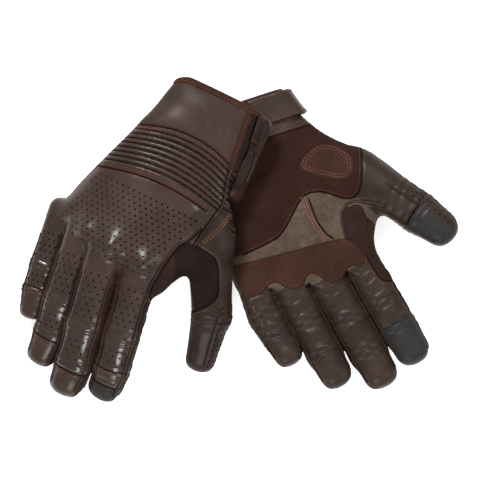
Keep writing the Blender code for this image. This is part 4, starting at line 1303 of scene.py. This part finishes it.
def cuff_fittings(skin):
    """The strap with its tapes, the bindings, and the knuckle foam."""
    g = skin.g
    mouth = g["mouth"]

    def raised(angles):
        return 3.3 + 2.6 * np.sin(np.clip((angles - 158.0) / 75.0, 0, 1) * math.pi)

    # The closing strap with two rows of stitches, its hook tape and the cuff's loop tape.
    mid, normals = strap_grid(skin, 158, 264, mouth + 1, mouth + 22, 64, 16, raised)
    soup = slab(mid, normals, 1.0, "dark_leather" if g["up"] > 0 else "leather")
    for row in (1.9, 19.1):
        spots, n = strap_grid(skin, 162, 261, mouth + 1 + row, mouth + 1 + row, 56, 2,
                              lambda a: raised(a) + 1.0)
        line = resample(spots[:, 0], STITCH)
        ups = np.array([n[min(int(i * 56 / len(line)), 55), 0] for i in range(len(line))])
        soup.stitches(line, ups, "thread", STITCH, 0.36)
    soup_piece(g, "strap_leather", soup, ("strap",), "strap")
    mid, normals = strap_grid(skin, 240, 260, mouth + 5, mouth + 18, 26, 16, lambda a: 1.75 + 0 * a)
    soup = slab(mid, normals, 0.22, "hook")
    soup_piece(g, "hook_tape", soup, ("hook_pad",), "strap")
    mid, normals = strap_grid(skin, 238, 262, mouth + 4, mouth + 19, 26, 16, lambda a: 0.8 + 0 * a)
    soup = slab(mid, normals, 0.35, "hook")
    soup_piece(g, "loop_tape", soup, ("loop_pad",), "cuff")
    # Binding rolled over the mouth, and the strip that goes on from it along the closure.
    turn = np.linspace(0, 360, 170, endpoint=False)
    path = cuff_path(g, [(a, mouth + 2.2) for a in turn])
    path[:, 1] = mouth_at(g, path[:, 0], path[:, 1]) + 2.2
    path[:, 2] = np.maximum(path[:, 2], 1.0)
    path = smoothed(skin.snap(path), True)
    ups = skin.normal(path, 1.6)
    ups[:, 1] = 0
    ups /= np.linalg.norm(ups, axis=1, keepdims=True)
    path[:, 1] = mouth_at(g, path[:, 0], path[:, 1]) + 1.6
    centre = path - 0.8 * ups
    centre[:, 2] = np.maximum(centre[:, 2], 1.6)
    soup = Soup()
    soup.tube(centre, 2.7, "binding", True, 0.66, ups, 12)
    row = resample(centre + 1.75 * ups + (0.0, 0.9, 0.0), STITCH, True)
    nearest = np.argmin(np.linalg.norm(row[:, None] - centre[None], axis=2), axis=1)
    soup.stitches(row, ups[nearest], "thread", STITCH, 0.34, 0.1, True)
    soup_piece(g, "mouth_binding", soup, ("cuff_binding",), "cuff")
    line = resample(rounded(carry(g, CUFF_SIDE_LINE, RIGHT)), 1.4)
    line = line[(line[:, 1] > mouth + 3.0) & (line[:, 1] < g["cuff_border"] + 2.0)]
    cross = np.linspace(-2.6, 2.6, 7)
    spots = np.stack([offset_line(line, k) for k in cross], axis=1)
    flat = skin.lift(spots.reshape(-1, 2), True)
    n = skin.normal(flat, 2.0)
    shape = (len(line), 7, 3)
    if len(line) > 4:
        soup = slab((flat + 0.35 * n).reshape(shape), n.reshape(shape), 0.5, "binding")
        row = resample((flat + 0.95 * n).reshape(shape)[:, 3], STITCH)
        soup.stitches(row, skin.normal(row, 2.0), "thread", STITCH)
        soup_piece(g, "closure_binding", soup, (), "cuff")
    # The foam under the knuckles, inside the back panel.
    angles = np.linspace(42, 126, 40)
    ys = np.linspace(58, 75, 16)
    spots = np.array([(a, y) for a in angles for y in ys])
    p = cuff_path(g, spots)
    cx = width_at(g, spots[:, 1])[0]
    towards = np.column_stack([cx, spots[:, 1], centre_height(g, cx, spots[:, 1])]) - p
    towards /= np.linalg.norm(towards, axis=1, keepdims=True)
    ridge = 0.4 * np.abs(np.sin(spots[:, 1] * 1.1))
    p = p + (4.6 - ridge)[:, None] * towards
    soup = slab(p.reshape(40, 16, 3), -towards.reshape(40, 16, 3), 1.0, "foam")
    soup_piece(g, "knuckle_foam", soup, ("knuckle_guard",), "hand")


def touch_patch(skin, d, first=196, last=344):
    """The thin touch leather over the palm side of a tip."""
    g = skin.g
    total = d["starts"][-1]
    angles = np.linspace(first, last, 34)
    ways = np.linspace(total - TOUCH_LENGTH, total - 5.0, 30)
    p = digit_path(d, [(s, a) for a in angles for s in ways])
    p = skin.snap(p)
    n = skin.normal(p, 1.6)
    p = p + 0.25 * n
    soup = slab(p.reshape(34, 30, 3), n.reshape(34, 30, 3), 0.35, "touch")
    digit = d["name"]
    soup_piece(g, digit + "_touch", soup, (digit + "_touch_pad",), digit + "_tip")


def oval(cx, cy, rx, ry, lean=0.0, n=14):
    """An oval outline in plan."""
    t = np.linspace(0, 2 * math.pi, n, endpoint=False)
    x, y = rx * np.cos(t), ry * np.sin(t)
    c, s = math.cos(lean), math.sin(lean)
    return [(cx + a * c - b * s, cy + a * s + b * c) for a, b in zip(x, y)]


def build_glove(g):
    """One whole glove: skin, sewn-on pieces, cuff fittings and touch leather."""
    skin = Skin(g)
    work = Work(skin)
    decorate(work)
    skin_pieces(work)
    pad = patch(skin, "heel_pad", HEEL_PAD, False, 1.6, "band_suede", 1.6, 1.6, rows=(2.2, 4.2),
                thread="pink_thread", spacing=2.8, nodes=("palm_pad",))
    band = [(x, min(y, g["band_end"])) for x, y in BAND]
    patch(skin, "palm_band", band, False, 1.2, "band_suede", 1.2, 0.4, rows=(2.3,),
          nodes=("finger_band",))
    patch(skin, "thumb_side_patch", CROTCH_PATCH, False, 0.7, "side", 1.0, 0.2, rows=(),
          nodes=("thumb_patch",))
    cuff_fittings(skin)
    for d in skin.digits:
        if d["name"] == "index":
            touch_patch(skin, d)
        if d["name"] == "thumb":
            touch_patch(skin, d, 248, 328)
    if g["up"] > 0:
        patch(skin, "closure_tab", oval(-51.5, -24.0, 4.2, 16.0, 0.07), True, 1.1, "dark_leather", 1.6,
              0.6, rows=(), source=RIGHT,
              across=("cuff", "hand", (0, g["cuff_border"] + 1, 0), (0, 8.0, 0)))


def studio():
    """The plain floor, soft lights and the camera."""
    floor_mesh = bpy.data.meshes.new("studio_floor")
    floor_mesh.from_pydata([(-3, -3, 0), (3, -3, 0), (3, 3, 0), (-3, 3, 0)], [], [(0, 1, 2, 3)])
    floor = bpy.data.objects.new("studio_floor", floor_mesh)
    floor.location.z = -0.0005
    bpy.context.scene.collection.objects.link(floor)
    paper = bpy.data.materials.new("studio_paper")
    paper.use_nodes = True
    shader = paper.node_tree.nodes["Principled BSDF"].inputs
    shader["Base Color"].default_value = (0.93, 0.93, 0.93, 1)
    shader["Roughness"].default_value = 0.9
    shader["Emission Color"].default_value = (1, 1, 1, 1)
    shader["Emission Strength"].default_value = 0.62
    floor_mesh.materials.append(paper)
    world = bpy.data.worlds.new("studio")
    world.use_nodes = True
    sky = world.node_tree.nodes["Background"].inputs
    sky["Color"].default_value = (1.0, 0.985, 0.96, 1)
    sky["Strength"].default_value = 0.36
    bpy.context.scene.world = world
    bpy.context.scene.view_settings.view_transform = "Standard"
    for name, place, size, power in (("key", (-0.30, 0.60, 0.85), 0.26, 9.5),
                                     ("fill", (0.75, -0.15, 0.95), 0.7, 4.5),
                                     ("rim", (-0.15, -0.85, 0.75), 0.4, 5.5)):
        light = bpy.data.lights.new(name, "AREA")
        light.energy = power
        light.size = size
        lamp = bpy.data.objects.new(name, light)
        lamp.location = place
        aim = Vector((0, 0, 0.02)) - Vector(place)
        lamp.rotation_euler = aim.to_track_quat("-Z", "Y").to_euler()
        bpy.context.scene.collection.objects.link(lamp)
    camera = bpy.data.cameras.new("camera")
    camera.lens = 100
    camera.sensor_width = 36
    view = bpy.data.objects.new("camera", camera)
    view.location = (-SHIFT[0] * MM, -SHIFT[1] * MM, 1.02)
    bpy.context.scene.collection.objects.link(view)
    bpy.context.scene.camera = view


build_glove(LEFT)
build_glove(RIGHT)
studio()
bpy.context.view_layer.update()
